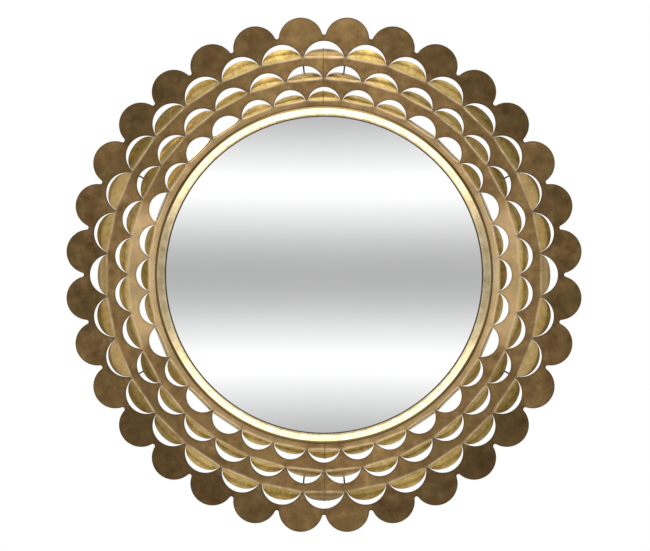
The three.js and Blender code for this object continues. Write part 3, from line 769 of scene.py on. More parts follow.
def band_pattern(row, nxt):
    """The band from row's fold line in to the next row's windows (or to the
    inner edge), for one pitch."""
    h = PITCH / 2
    corner = row.chord / math.cos(HALF_STEP)
    outer = [turn((0, corner), -h), (-row.end, row.chord)]
    outer += [(f * row.flap_end, row.chord) for f in CHORD_F]
    outer += [(row.end, row.chord), turn((0, corner), h)]
    if nxt:
        win = window_arc(nxt, ARC)
        w_right = [turn(p, h) for p in win[:ARC // 2 + 1]]
        w_left = [turn(p, -h) for p in win[ARC // 2:]]
        neck = (0.0, nxt.chord / math.cos(HALF_STEP))
        poly = outer[:-1] + spaced(outer[-1], w_right[-1], 4.5)
        poly += w_right[::-1] + [neck] + w_left[::-1]
        poly += spaced(w_left[0], outer[0], 4.5)[1:]
    else:
        inner = [turn((0, INNER_R), h - PITCH * i / 8) for i in range(9)]
        poly = outer[:-1] + spaced(outer[-1], inner[0], 4.5) + inner
        poly += spaced(inner[-1], outer[0], 4.5)[1:]
    rims = []
    for d_in in (0.7, 1.5, 2.4, 3.6):
        ring = [(f * row.flap_end * 0.98, row.chord - d_in) for f in CHORD_F]
        if d_in in (0.7, 2.4):
            pass
        elif nxt:
            for side in (-1, 1):
                for i in range(13):
                    a = math.pi * 0.05 + (math.pi * 0.9) * i / 12
                    q = ((nxt.arc + d_in) * math.cos(a), nxt.centre + (nxt.arc + d_in) * math.sin(a))
                    ring.append(turn(q, side * h))
        else:
            ring += [turn((0, INNER_R + d_in), h - PITCH * i / 8) for i in range(9)]
        rims.append((min(d_in, 1.0), ring))
    pts, tris = triangulated(poly, rims)
    if nxt:
        c0, c1 = turn((0, nxt.centre), -h), turn((0, nxt.centre), h)

    def rim(p):
        x, y = p
        if nxt:
            d = min(abs(math.hypot(x - c0[0], y - c0[1]) - nxt.arc), abs(math.hypot(x - c1[0], y - c1[1]) - nxt.arc))
        else:
            d = math.hypot(x, y) - INNER_R
        return max(d, 0.0)
    return pts, tris, rim


def flap_line(s, start, beta, curl, height):
    """(out, back) of the point s mm along the sheet from the chord, where the
    sheet already leans by start and ends up at beta."""
    sb = FOLD_R * (beta - start)
    if s <= sb:
        a = start + s / FOLD_R
        return FOLD_R * (math.sin(a) - math.sin(start)), FOLD_R * (math.cos(start) - math.cos(a))
    out = FOLD_R * (math.sin(beta) - math.sin(start))
    back = FOLD_R * (math.cos(start) - math.cos(beta))
    # a gentle curl from the fold to the tip
    rest, n = s - sb, 10
    for i in range(n):
        a = beta + curl * ((i + 0.5) / n) * rest / height
        out += rest / n * math.cos(a)
        back += rest / n * math.sin(a)
    return out, back


def solve_bend(row, cover, alpha, curl):
    """Final inclination of the flap for the height that shows from the front."""
    target = cover * (row.arc - row.rise)
    lo, hi = math.radians(10), math.radians(89)
    for _ in range(40):
        mid = (lo + hi) / 2
        start = alpha + FOLD_BACK * (mid - alpha)
        out, back = flap_line(row.height, start, mid, curl, row.height)
        # the tip stands farther back, so from in front it shows a little further in
        if out - (row.chord + out) * back / 3454.0 > target:
            lo = mid
        else:
            hi = mid
    return (lo + hi) / 2


flap_rng = random.Random(31)
FLAPS = {}
for _i, _row in enumerate(ROWS):
    for _k in range(COUNT):
        _deg = _row.angle(_k)
        _x, _z = turn((0, _row.chord), _deg)
        _alpha = slope_at(_x, _z, _deg)
        _n, _hand = _row.place(_k)
        _curl = math.radians(SHAPES[_i][0][_n] + flap_rng.uniform(-3, 3))
        FLAPS[_i, _k] = (_alpha, solve_bend(_row, _row.coverage(_k), _alpha, _curl), _curl,
                         math.radians(_hand * SHAPES[_i][1][_n] + flap_rng.uniform(-1.5, 1.5)),
                         math.radians(SHAPES[_i][2][_n] + flap_rng.uniform(-1.5, 1.5)),
                         SHAPES[_i][3][_n] + flap_rng.uniform(-0.08, 0.04), SHAPES[_i][4][_n] + flap_rng.uniform(-0.05, 0.05))


def roll(i, k, u, dist):
    """Extra drop of the band dist mm inside the chord, where the bend begins,
    and the extra lean there."""
    row = ROWS[i]
    alpha, beta = FLAPS[i, k][:2]
    g = min(abs(u) / row.flap_end, 1.0)
    most = FOLD_BACK * (beta - alpha) * max(0.0, 1 - g ** 4) ** 0.8
    theta = most - dist / FOLD_R
    if theta <= 0:
        return 0.0, 0.0
    out = FOLD_R * (math.sin(alpha + theta) - math.sin(alpha))
    back = FOLD_R * (math.cos(alpha) - math.cos(alpha + theta))
    return back - out * math.tan(alpha), theta


def build_sheet():
    bm = bmesh.new()
    l_edge = bm.verts.layers.float.new("edge")
    l_flap = bm.verts.layers.float.new("flap")
    l_fold = bm.verts.layers.float.new("fold")
    l_tone = bm.verts.layers.float.new("tone")
    l_wear_and_sheen = bm.verts.layers.float.new("wear_and_sheen")
    l_seam = bm.verts.layers.float.new("seam")
    l_rub = bm.verts.layers.float_vector.new("rub")
    known = {}

    def vert(x, z, y, edge=0.0, flap=0.0, fold=0.0, tone=0.0, weld=True, rub=(0, 0, 0), sheen_and_wear=0.0):
        key = (round(x * 50), round(z * 50))
        if weld and key in known:
            return known[key]
        v = bm.verts.new((x * MM, y * MM, z * MM))
        v[l_edge], v[l_flap], v[l_fold], v[l_tone] = edge, flap, fold, tone
        v[l_wear_and_sheen] = wear_and_sheen_at(x, z) * (1 - flap) + sheen_and_wear * flap
        v[l_rub] = Vector(rub)
        if weld:
            known[key] = v
        return v

    def fold_near(x, z):
        """How strongly the painted crease highlight lies on a plan point: near one of the three creases, strongest at
        the middle of each flap."""
        r, a = math.hypot(x, z), math.degrees(math.atan2(x, z))
        best = 0.0
        for row in ROWS:
            off = math.radians(a - row.angle(round(a / PITCH - (0.5 if row.half else 0.0))))
            f = math.exp(-((r * math.cos(off) - row.chord) / 2.1) ** 2)
            best = max(best, f * (1 - 0.6 * smooth(abs(r * math.sin(off)) / row.flap_end, 0.7, 1.15)))
        return best

    patterns = [(None, lobe_pattern())]
    for i in range(3):
        patterns.append((i, band_pattern(ROWS[i], ROWS[i + 1] if i < 2 else None)))
    for i, (pts, tris, rim) in patterns:
        row = ROWS[i] if i is not None else None
        values = [(p, edge_value(rim(p))) for p in pts]
        for k in range(COUNT):
            deg = (k + 0.5) * PITCH if row is None else row.angle(k)
            ids = []
            for (p, e) in values:
                x, z = turn(p, deg)
                f = fold_near(x, z)
                drop = roll(i, k, p[0], row.chord - p[1])[0] if row else 0.0
                ids.append(vert(x, z, sheet_y(x, z) + drop, e, 0.0, f, 0.0))
            for t in tris:
                vs = [ids[j] for j in t]
                if len(set(vs)) == 3:
                    f = bm.faces.new(vs)
                    f.normal_update()
                    if f.normal.y > 0:
                        f.normal_flip()

    for i, row in enumerate(ROWS):
        for k in range(COUNT):
            deg = row.angle(k)
            alpha, beta, curl, twist, bow, tone, sheen_and_wear = FLAPS[i, k]
            sb = FOLD_R * (beta - alpha) * (1 - FOLD_BACK)
            rows_s = [sb * q / 5 for q in range(6)]
            left_over, n_rows = row.height - sb, 12
            rows_s += [sb + left_over * math.sin(math.pi / 2 * q / n_rows) for q in range(1, n_rows + 1)]
            rad = row.arc - KERF
            grid = []
            for si, s in enumerate(rows_s):
                w = 0.0 if si == len(rows_s) - 1 else math.sqrt(max(rad ** 2 - (s + row.rise) ** 2, 0.0))
                line = []
                for f in CHORD_F:
                    u = f * w if si else f * row.flap_end
                    g = u / row.flap_end
                    drop, lean = roll(i, k, u, 0.0)
                    b = beta + twist * g + bow * (g * g - 0.3) * min(1.0, s / 10.0)
                    px, pz = turn((u, row.chord), deg)
                    y0 = sheet_y(px, pz) + drop
                    if si == 0:
                        line.append(vert(px, pz, y0))
                        continue
                    out, back = flap_line(s, alpha + lean, max(b, alpha + lean + 0.05), curl, row.height)
                    x, z = turn((u, row.chord + out), deg)
                    d_edge = max(rad - math.hypot(u, s + row.rise), 0.0)
                    # painted crease highlight on the flap, fading within a few mm of the chord
                    near = math.exp(-(s / 2.1) ** 2)
                    line.append(vert(x, z, y0 + back, edge_value(d_edge * 1.6) * 0.6, min(1.0, s / 3.5), near, tone, False,
                                     (u * 0.20, s * 0.06, (i * COUNT + k) * 7.3), sheen_and_wear))
                    if w == 0.0:
                        break
                grid.append(line)
            for a, b in zip(grid[:-1], grid[1:]):
                for j in range(COLS):
                    quad = [a[j], b[0], a[j + 1]] if len(b) == 1 else [a[j], b[j], b[j + 1], a[j + 1]]
                    if len(set(quad)) > 2:
                        bm.faces.new(quad)
    bmesh.ops.recalc_face_normals(bm, faces=bm.faces)
    # the front skin must look toward -Y
    if sum(f.normal.y * f.calc_area() for f in bm.faces) > 0:
        bmesh.ops.reverse_faces(bm, faces=bm.faces)
    # finer strips along the two butt seams, and their dark line
    for up in (1, -1):
        for off in (-2.6, -1.4, -0.7, 0.7, 1.4, 2.6):
            x = (-SEAM_X * up + off) * MM
            part = [f for f in bm.faces if f.calc_center_median().z * up > 0 and abs(f.calc_center_median().x) < 0.02]
            geom = list({v for f in part for v in f.verts}) + list({e for f in part for e in f.edges}) + part
            bmesh.ops.bisect_plane(bm, geom=geom, dist=1e-7, plane_co=(x, 0, 0), plane_no=(1, 0, 0))
    for v in bm.verts:
        if abs(v.co.x) < 0.006:
            off = v.co.x / MM + math.copysign(SEAM_X, v.co.z)
            v[l_seam] = max(0.0, 1.0 - abs(off) / 1.3)
            if v[l_flap] > 0:
                v.co.y += 0.4 * math.exp(-(off / 1.0) ** 2) * MM
    return bm


def half_of(source, side):
    """side +1 keeps the right half, -1 the left one."""
    bm = source.copy()
    for up in (1, -1):
        x = (-SEAM_X * up + side * SEAM_GAP / 2) * MM
        part = [f for f in bm.faces if f.calc_center_median().z * up > 0]
        geom = list({v for f in part for v in f.verts}) + list({e for f in part for e in f.edges}) + part
        bmesh.ops.bisect_plane(bm, geom=geom, dist=1e-7, plane_co=(x, 0, 0), plane_no=(side, 0, 0),
                               clear_inner=True, clear_outer=False)
        for v in bm.verts:
            if abs(v.co.x - x) < 2e-7 and v.co.z * up > 0:
                v[bm.verts.layers.float["seam"]] = 1.0
    return bm


def solid_sheet(name, bm, cad_node):
    mesh = bpy.data.meshes.new(name)
    bm.to_mesh(mesh)
    bm.free()
    o = link(name, mesh, [SHEET_MAT, CUT_MAT, BACK_MAT])
    s = o.modifiers.new("gauge", "SOLIDIFY")
    s.material_offset = 2
    s.material_offset_rim = 1
    s.thickness = SHEET * MM
    s.offset = -1.0
    s.use_even_offset = True
    s.use_quality_normals = True
    dg = bpy.context.evaluated_depsgraph_get()
    done = bpy.data.meshes.new_from_object(o.evaluated_get(dg), depsgraph=dg)
    o.modifiers.clear()
    o.data = done
    done.name = name + "_mesh"
    soften(done, 40.0)
    return place(o, [cad_node])


sheet = build_sheet()
solid_sheet("pierced_sheet_right", half_of(sheet, 1), "frame_half_right")
solid_sheet("pierced_sheet_left", half_of(sheet, -1), "frame_half_left")
sheet.free()


# ------------------------------------------------------------------ the glass
GLASS_R, GLASS_T, GLASS_RISE, GLASS_RIM_Y = 282.0, 3.0, 25.0, -46.5
RG = (GLASS_R ** 2 + GLASS_RISE ** 2) / (2 * GLASS_RISE)
CROWN = GLASS_RIM_Y - GLASS_RISE


def glass_y(r):
    return CROWN + RG - math.sqrt(RG * RG - r * r)


prof, slots = [], []
N = 40
for i in range(N + 1):
    r = (GLASS_R - 0.5) * i / N
    prof.append((r, glass_y(r)))
prof.append((GLASS_R, glass_y(GLASS_R) + 0.5))
prof.append((GLASS_R, glass_y(GLASS_R) + GLASS_T - 0.5))
for i in range(12, -1, -1):
    r = (GLASS_R - 0.5) * i / 12
    prof.append((r, glass_y(r) + GLASS_T))
slots = [0] * N + [1] * (len(prof) - N)
glass = lathe("convex_mirror_glass", prof, [MIRROR_MAT, EDGE_MAT], 256, 18.0, closed=False, slots=slots)
place(glass, ["mirror_glass"])

# ------------------------------------------------------------------ the bezel
LIP_R, BEZEL_R, BEZEL_STEP = 278.8, 296.0, 285.1


def rounded(points, radii, n=4):
    """Round the corners of a closed (r, y) outline."""
    out = []
    m = len(points)
    for i, p in enumerate(points):
        rad = radii[i]
        p0, p1, p2 = Vector(points[i - 1]), Vector(p), Vector(points[(i + 1) % m])
        if rad <= 0:
            out.append((p1.x, p1.y))
            continue
        a, b = (p0 - p1), (p2 - p1)
        cut = min(rad, a.length * 0.45, b.length * 0.45)
        a, b = p1 + a.normalized() * cut, p1 + b.normalized() * cut
        for k in range(n + 1):
            t = k / n
            q = (1 - t) ** 2 * a + 2 * t * (1 - t) * p1 + t * t * b
            out.append((q.x, q.y))
    return out


bez = rounded([(LIP_R + 0.1, -47.5), (LIP_R, -51.4), (LIP_R + 0.5, -51.9), (LIP_R + 6.5, -50.6), (LIP_R + 13.0, -49.0),
               (LIP_R + 13.8, -48.5), (BEZEL_R - 0.5, -46.1), (BEZEL_R, -45.5), (BEZEL_R, -44.9),
               (BEZEL_STEP, -44.9), (BEZEL_STEP, -47.5)],
              [0.3, 0.2, 0.3, 2.5, 0.4, 0.8, 0.4, 0.3, 0.2, 0.2, 0.3], 4)
# painted shade: full on the inner lip wall and the underside, half on the outer flank
bezel_shade = []
for r, y in bez:
    if y > -47.6 and r < BEZEL_R - 1.5 or r < LIP_R + 0.32:
        bezel_shade.append(1.0)
    else:
        bezel_shade.append(0.5 * smooth(r, LIP_R + 12.7, LIP_R + 13.9))
bezel = lathe("brass_bezel_ring", bez, BEZEL_MAT, 288, 30.0, edge=bezel_shade)
place(bezel, ["bezel_ring"])

# --------------------------------------------------- pan, support ring, board
PAN_IN, PAN_OUT, PAN_BACK, FLANGE_R = 283.6, 284.8, -14.0, 304.0
pan = lathe("rim_pan_shell", rounded([
    (PAN_IN, -47.2), (PAN_OUT, -47.2), (PAN_OUT, PAN_BACK - 1.2), (FLANGE_R, PAN_BACK - 1.2),
    (FLANGE_R, PAN_BACK), (PAN_IN, PAN_BACK)], [0.3, 0.3, 0.6, 0.4, 0.4, 1.2], 3), DARK_MAT, 224, 35.0)
place(pan, ["rim_pan"])
sup = lathe("support_ring_shell", rounded([
    (PAN_OUT + 0.3, -44.5), (302, -44.5), (302, -43.3), (PAN_OUT + 1.5, -43.3), (PAN_OUT + 1.5, -28), (PAN_OUT + 0.3, -28)],
    [1.4, 0.3, 0.3, 0.6, 0.3, 0.3], 3), DARK_MAT, 224, 35.0)
place(sup, ["support_ring"])
BOARD_F = PAN_BACK - 6.0
spc = lathe("felt_spacer", rounded([
    (264.3, BOARD_F - 0.3), (282.4, BOARD_F - 0.3), (282.4, glass_y(GLASS_R) + GLASS_T + 0.6),
    (264.3, glass_y(264) + GLASS_T + 0.8)], [0.8, 0.8, 0.8, 0.8], 3), FELT_MAT, 160, 35.0)
place(spc, ["spacer_ring"])
board = lathe("hardboard_back", [(0, BOARD_F), (282.5, BOARD_F), (283.1, BOARD_F + 0.6), (283.1, PAN_BACK - 0.8),
                                 (282.3, PAN_BACK), (140, PAN_BACK), (0, PAN_BACK)], BOARD_MAT, 224, 30.0, closed=False)
place(board, ["backing_board"])

# ---------------------------------------------------------- rods and the hoop
ROD_D, ROD_Y, ROD_FOOT_R = 2.8, -12.2, 426.0
ROD_ANGLES = [5.625, 61.875, 118.125, 174.375, 185.625, 241.875, 298.125, 354.375]
HOOP_R, HOOP_D, HOOP_Y = 419.0, 5.0, -7.9


def blob(name, centre, size, spin=0.0, seed=0, mats=None):
    """A drop of solder: a squashed, slightly lumpy ball; size in mm."""
    bm = bmesh.new()
    bmesh.ops.create_icosphere(bm, subdivisions=3, radius=1.0)
    r = Matrix.Rotation(-spin, 3, "Y")
    for v in bm.verts:
        k = 1 + 0.12 * noise.noise(v.co * 1.7 + Vector((seed * 3.7, 0, 0)))
        v.co = r @ Vector((v.co.x * size[0] * k, v.co.y * size[1] * k, v.co.z * size[2] * k)) * MM + centre
    return finish_bm(name, bm, mats or SOLDER_MAT, 80.0)


for i, deg in enumerate(ROD_ANGLES):
    foot_x, foot_z = turn((0, ROD_FOOT_R), deg)
    foot = sheet_y(foot_x, foot_z) + SHEET + 0.3
    bend_r = 6.0
    pts = [at(293 + (ROD_FOOT_R - bend_r - 293) * j / 12, deg, ROD_Y) for j in range(12)]
    for j in range(9):
        a = math.pi / 2 * j / 8
        pts.append(at(ROD_FOOT_R - bend_r + bend_r * math.sin(a), deg, ROD_Y - bend_r + bend_r * math.cos(a)))
    pts.append(at(ROD_FOOT_R, deg, foot))
    radii = [ROD_D / 2 * MM] * len(pts)
    rod = tube(f"support_rod_wire_{i + 1}", pts, ROD_D / 2 * MM, DARK_MAT, 16, radii=radii)
    place(rod, [f"support_rod_{i + 1}"])
    b1 = blob(f"solder_rod_pan_{i + 1}", at(298, deg, ROD_Y - 0.9), (3.2, 1.1, 5.0), math.radians(-deg), i)
    b2 = blob(f"solder_rod_hoop_{i + 1}", at(HOOP_R, deg, (ROD_Y + HOOP_Y) / 2 - 0.3), (3.4, 2.0, 3.2), math.radians(-deg), i + 20)
    b3 = blob(f"solder_rod_foot_{i + 1}", at(ROD_FOOT_R, deg, foot + 0.7), (3.6, 1.0, 3.6), math.radians(-deg), i + 40)
    for b in (b1, b2, b3):
        place(b, [])

for name, start in (("right", 0.0), ("left", 180.0)):
    slack = math.degrees(0.2 / HOOP_R)
    pts = [at(HOOP_R, start + slack + (180 - 2 * slack) * j / 128, HOOP_Y) for j in range(129)]
    hoop = tube(f"rear_hoop_bar_{name}", pts, HOOP_D / 2 * MM, DARK_MAT, 18)
    place(hoop, [f"rear_hoop_{name}"])
for i, deg in enumerate((0.0, 180.0)):
    place(blob(f"weld_hoop_{i + 1}", at(HOOP_R, deg, HOOP_Y), (3.0, 2.7, 2.75), 0.0, 60 + i), [])


# ------------------------------------------------- rounded plates and fixings
def bevelled_plate(name, outline, y0, y1, mats, bevel=0.25, holes=(), matrix=None, cap_steps=1):
    """A plate from a plan outline (x, z) in mm between y0 and y1, with eased
    edges and round holes ((x, z, radius))."""
    bm = bmesh.new()
    loops = [list(outline)] + [
        [(hx + hr * math.cos(2 * math.pi * k / 24), hz + hr * math.sin(2 * math.pi * k / 24)) for k in range(24)]
        for hx, hz, hr in holes]
    coords2, faces2 = [], []
    for lp in loops:
        s = len(coords2)
        coords2 += lp
        faces2.append(list(range(s, s + len(lp))))
    out = delaunay_2d_cdt([Vector(p) for p in coords2], [], faces2, 1, 1e-6)
    keep = []
    for f in out[2]:
        c = sum((out[0][i] for i in f), Vector((0, 0))) / len(f)
        if all(math.hypot(c.x - hx, c.y - hz) > hr * 0.98 for hx, hz, hr in holes):
            keep.append(f)
    vs = [bm.verts.new((p.x * MM, y0 * MM, p.y * MM)) for p in out[0]]
    for f in keep:
        bm.faces.new([vs[i] for i in f])
    bm.normal_update()
    geo = bmesh.ops.extrude_face_region(bm, geom=list(bm.faces))
    bmesh.ops.translate(bm, verts=[g for g in geo["geom"] if isinstance(g, bmesh.types.BMVert)], vec=(0, (y1 - y0) * MM, 0))
    bmesh.ops.recalc_face_normals(bm, faces=bm.faces)
    if bevel:
        sharp = [e for e in bm.edges if len(e.link_faces) == 2 and e.calc_face_angle(0) > math.radians(60)]
        bmesh.ops.bevel(bm, geom=sharp, offset=bevel * MM, segments=2, affect="EDGES", profile=0.6)
    if matrix is not None:
        bmesh.ops.transform(bm, matrix=matrix, verts=bm.verts)
    return finish_bm(name, bm, mats, 40.0)


def rect(w, h, n=1):
    return [(-w / 2, -h / 2), (w / 2, -h / 2), (w / 2, h / 2), (-w / 2, h / 2)]


for tag, up in (("top", 1), ("bottom", -1)):
    for part in ("outer", "middle"):
        cad = f"seam_strap_{tag}_{part}"
        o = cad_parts[cad]
        o.data.materials.clear()
        o.data.materials.append(SHEET_MAT)
        ease = o.modifiers.new("eased_edges", "BEVEL")
        ease.width, ease.segments = 0.3 * MM, 2

# ----------------------------------------------------- turn buttons and screws
BUTTON_R, BUTTON_T, BUTTON_LONG, BUTTON_SHORT, BUTTON_W = 296.0, 1.6, 26.0, 8.0, 12.0
BUTTON_ANGLES = [45, 135, 225, 315]


def cross_screw(name, x, z, y_seat, head_r, head_h, shank_r, length, spin, cad, body):
    """Pan-head screw with a cross recess; head toward +Y."""
    bm = bmesh.new()
    turns = 28
    prof = [(shank_r * 0.2, y_seat - length), (shank_r, y_seat - length + 1.2), (shank_r, y_seat), (head_r - 0.2, y_seat),
            (head_r, y_seat + 0.25), (head_r * 0.98, y_seat + head_h * 0.45), (head_r * 0.86, y_seat + head_h * 0.74),
            (head_r * 0.62, y_seat + head_h * 0.93), (head_r * 0.32, y_seat + head_h), (0, y_seat + head_h)]
    rings = []
    for r, y in prof:
        if r == 0:
            rings.append([bm.verts.new((x * MM, y * MM, z * MM))])
        else:
            rings.append([bm.verts.new(((x + r * math.cos(2 * math.pi * k / turns)) * MM, y * MM,
                                        (z + r * math.sin(2 * math.pi * k / turns)) * MM)) for k in range(turns)])
    for a, b in zip(rings[:-1], rings[1:]):
        for k in range(turns):
            k2 = (k + 1) % turns
            bm.faces.new((a[k], a[k2], b[0]) if len(b) == 1 else (a[k], a[k2], b[k2], b[k]))
    bm.faces.new(rings[0])
    bmesh.ops.recalc_face_normals(bm, faces=bm.faces)
    mesh = bpy.data.meshes.new(name)
    bm.to_mesh(mesh)
    bm.free()
    o = link(name, mesh, ZINC_MAT)
    cut = bmesh.new()
    for a in (0.0, math.pi / 2):
        m = (Matrix.Translation(Vector((x, y_seat + head_h, z)) * MM) @ Matrix.Rotation(spin + a, 4, "Y")
             @ Matrix.Diagonal((head_r * 1.15 * MM, head_h * 1.1 * MM, 0.75 * MM, 1)))
        bmesh.ops.create_cube(cut, size=1.0, matrix=m)
    cmesh = bpy.data.meshes.new(name + "_cut")
    cut.to_mesh(cmesh)
    cut.free()
    c = bpy.data.objects.new(name + "_cut", cmesh)
    bpy.context.scene.collection.objects.link(c)
    mod = o.modifiers.new("recess", "BOOLEAN")
    mod.operation = "DIFFERENCE"
    mod.solver = "EXACT"
    mod.use_self = True
    mod.object = c
    dg = bpy.context.evaluated_depsgraph_get()
    done = bpy.data.meshes.new_from_object(o.evaluated_get(dg), depsgraph=dg)
    o.modifiers.clear()
    o.data = done
    bpy.data.objects.remove(c)
    soften(done, 38.0)
    return place(o, [cad], body)


for i, deg in enumerate(BUTTON_ANGLES):
    h = BUTTON_W / 2
    pts = []
    for k in range(17):
        a = math.pi * k / 16
        pts.append((h * math.cos(a), BUTTON_SHORT - h + h * math.sin(a)))
    for k in range(17):
        a = math.pi + math.pi * k / 16
        pts.append((h * 0.8 * math.cos(a), -(BUTTON_LONG - h * 0.8) + h * 0.8 * math.sin(a)))
    px, pz = turn((0, BUTTON_R), deg)
    m = Matrix.Translation(Vector((px, 0, pz)) * MM) @ Matrix.Rotation(math.radians(deg), 4, "Y")
    b = bevelled_plate(f"turn_button_plate_{i + 1}", pts, PAN_BACK + 0.3, PAN_BACK + 0.3 + BUTTON_T, ZINC_MAT, 0.3,
                       holes=[(0, 0, 1.9)], matrix=m)
    place(b, [f"turn_button_{i + 1}"], f"button_{i + 1}")
    cross_screw(f"button_screw_head_{i + 1}", px, pz, PAN_BACK + 0.6 + BUTTON_T, 3.6, 1.8, 1.5, 5.4,
                0.4 + i * 0.9, f"button_screw_{i + 1}", BODY)

# ------------------------------------------------------- hangers and D-rings
HANGER_X, HANGER_Z, RING_W, RING_H, RING_D = 190.0, 110.0, 26.0, 18.0, 3.0
STRAP_Y, STRAP_T = PAN_BACK + 0.3, 1.2
BARREL = RING_D / 2 + 0.3
BARREL_Y = STRAP_Y + STRAP_T + BARREL
SCREW_Z = [HANGER_Z - 23.5, HANGER_Z - 31.5]
for tag, side in (("left", -1), ("right", 1)):
    # strap: plate with rounded foot, two holes, its top rolled into a barrel
    bm = bmesh.new()
    low, w = HANGER_Z - 37.0, 6.0
    outline = []
    for k in range(13):
        a = math.pi + math.pi * k / 12
        outline.append((w * math.cos(a), low + w * 0.55 + w * 0.55 * math.sin(a)))
    outline += [(w, HANGER_Z - 0.5), (-w, HANGER_Z - 0.5)]
    strap = bevelled_plate(f"hanger_plate_{tag}", [(x + side * HANGER_X, z) for x, z in outline], STRAP_Y, STRAP_Y + STRAP_T,
                           ZINC_MAT, 0.2, holes=[(side * HANGER_X, z, 1.8) for z in SCREW_Z])
    place(strap, [f"hanger_strap_{tag}"])
    bm = bmesh.new()
    steps = 30
    sect = []
    for k in range(steps + 1):
        a = math.pi - 1.5 * math.pi * k / steps
        sect.append((BARREL_Y + (BARREL + STRAP_T) * math.cos(a), HANGER_Z + (BARREL + STRAP_T) * math.sin(a)))
    for k in range(steps, -1, -1):
        a = math.pi - 1.5 * math.pi * k / steps
        sect.append((BARREL_Y + BARREL * math.cos(a), HANGER_Z + BARREL * math.sin(a)))
    vs = [bm.verts.new(((side * HANGER_X - w) * MM, y * MM, z * MM)) for y, z in sect]
    ws = [bm.verts.new(((side * HANGER_X + w) * MM, y * MM, z * MM)) for y, z in sect]
    n = len(sect)
    for k in range(n):
        bm.faces.new((vs[k], vs[(k + 1) % n], ws[(k + 1) % n], ws[k]))
    for k in range(steps):
        bm.faces.new((vs[k], vs[k + 1], vs[n - 2 - k], vs[n - 1 - k]))
        bm.faces.new((ws[k], ws[k + 1], ws[n - 2 - k], ws[n - 1 - k]))
    bmesh.ops.recalc_face_normals(bm, faces=bm.faces)
    curl_o = finish_bm(f"hanger_barrel_{tag}", bm, ZINC_MAT, 35.0)
    place(curl_o, [])
    for i, z in enumerate(SCREW_Z):
        cross_screw(f"hanger_screw_head_{tag}_{i + 1}", side * HANGER_X, z, STRAP_Y + STRAP_T + 0.3, 3.4, 1.5, 1.35, 5.0,
                    0.3 + i * 1.1 + side, f"hanger_screw_{tag}_{i + 1}", BODY)
    # ring of round wire
    ww, c = RING_W / 2 - RING_D / 2, 3.0
    loop = []
    for k in range(5):
        loop.append((0.15 + (ww - c - 0.15) * k / 4, 0.0))
    for k in range(1, 9):
        a = math.pi / 2 * k / 8
        loop.append((ww - c + c * math.sin(a), -c + c * math.cos(a)))
    for k in range(0, 33):
        a = math.pi * k / 32
        loop.append((ww * math.cos(a), -5.0 - 10.0 * math.sin(a)))
    for k in range(8, 0, -1):
        a = math.pi / 2 * k / 8
        loop.append((-(ww - c + c * math.sin(a)), -c + c * math.cos(a)))
    for k in range(4, -1, -1):
        loop.append((-(0.15 + (ww - c - 0.15) * k / 4), 0.0))
    pts = [Vector((side * HANGER_X + x, BARREL_Y, HANGER_Z + z)) * MM for x, z in loop]
    ring = tube(f"d_ring_wire_{tag}", pts, (RING_D / 2 - 0.02) * MM, ZINC_MAT, 18)
    place(ring, [f"d_ring_{tag}"], f"ring_{tag}")

# ----------------------------------------------------------------- bumpers
for i, deg in enumerate((30, 150, 210, 330)):
    bx, bz = turn((0, 250.0), deg)
    prof = rounded([(0, PAN_BACK + 0.3), (9.0, PAN_BACK + 0.3), (9.0, -9.0), (8.2, -1.4), (7.2, 0.0), (0, 0.0)],
                   [0, 0.5, 1.2, 1.4, 0.9, 0], 4)
    bump_o = lathe(f"rubber_bumper_{i + 1}", [p for p in prof], RUBBER_MAT, 48, 50.0, closed=False)
    bump_o.data.transform(Matrix.Translation(Vector((bx, 0, bz)) * MM))
    place(bump_o, [f"wall_bumper_{i + 1}"])

# ------------------------------------------------------------- floor and light
floor_m, nt, bsdf = material("pale_floor")
vec = coords(nt)
n = noise_tex(nt, vec, 3.0, 4.0, 0.5)
nt.links.new(ramp(nt, n, [(0.3, (0.80, 0.80, 0.795)), (0.7, (0.83, 0.83, 0.825))]), bsdf.inputs["Base Color"])
bsdf.inputs["Roughness"].default_value = 0.7
# the floor fades out toward its rim, so it ends without a line
dist = node(nt, "ShaderNodeVectorMath", operation="LENGTH")
flat = node(nt, "ShaderNodeVectorMath", operation="MULTIPLY")
flat.inputs[1].default_value = (1, 1, 0)
nt.links.new(vec, flat.inputs[0])
nt.links.new(flat.outputs[0], dist.inputs[0])
fade = node(nt, "ShaderNodeMapRange", interpolation_type="SMOOTHSTEP")
fade.inputs["From Min"].default_value = 2.5
fade.inputs["From Max"].default_value = 0.9
nt.links.new(dist.outputs["Value"], fade.inputs["Value"])
nt.links.new(fade.outputs[0], bsdf.inputs["Alpha"])
bm = bmesh.new()
bmesh.ops.create_circle(bm, cap_ends=True, segments=96, radius=2.6)
bmesh.ops.translate(bm, verts=bm.verts, vec=(0, 0, -1.45))
fm = bpy.data.meshes.new("floor")
bm.to_mesh(fm)
bm.free()
floor = link("studio_floor", fm, floor_m)

world = bpy.data.worlds.new("studio")
bpy.context.scene.world = world
world.use_nodes = True
nt = world.node_tree
nt.nodes.clear()
out = nt.nodes.new("ShaderNodeOutputWorld")
tc = nt.nodes.new("ShaderNodeTexCoord")
sep = nt.nodes.new("ShaderNodeSeparateXYZ")
nt.links.new(tc.outputs["Generated"], sep.inputs[0])
ax = maths(nt, "ABSOLUTE", sep.outputs["X"])
az = maths(nt, "ABSOLUTE", sep.outputs["Z"])


def step(value, lo, hi):
    m = node(nt, "ShaderNodeMapRange", interpolation_type="SMOOTHSTEP")
    m.inputs["From Min"].default_value = lo
    m.inputs["From Max"].default_value = hi
    nt.links.new(value, m.inputs["Value"])
    return m.outputs[0]


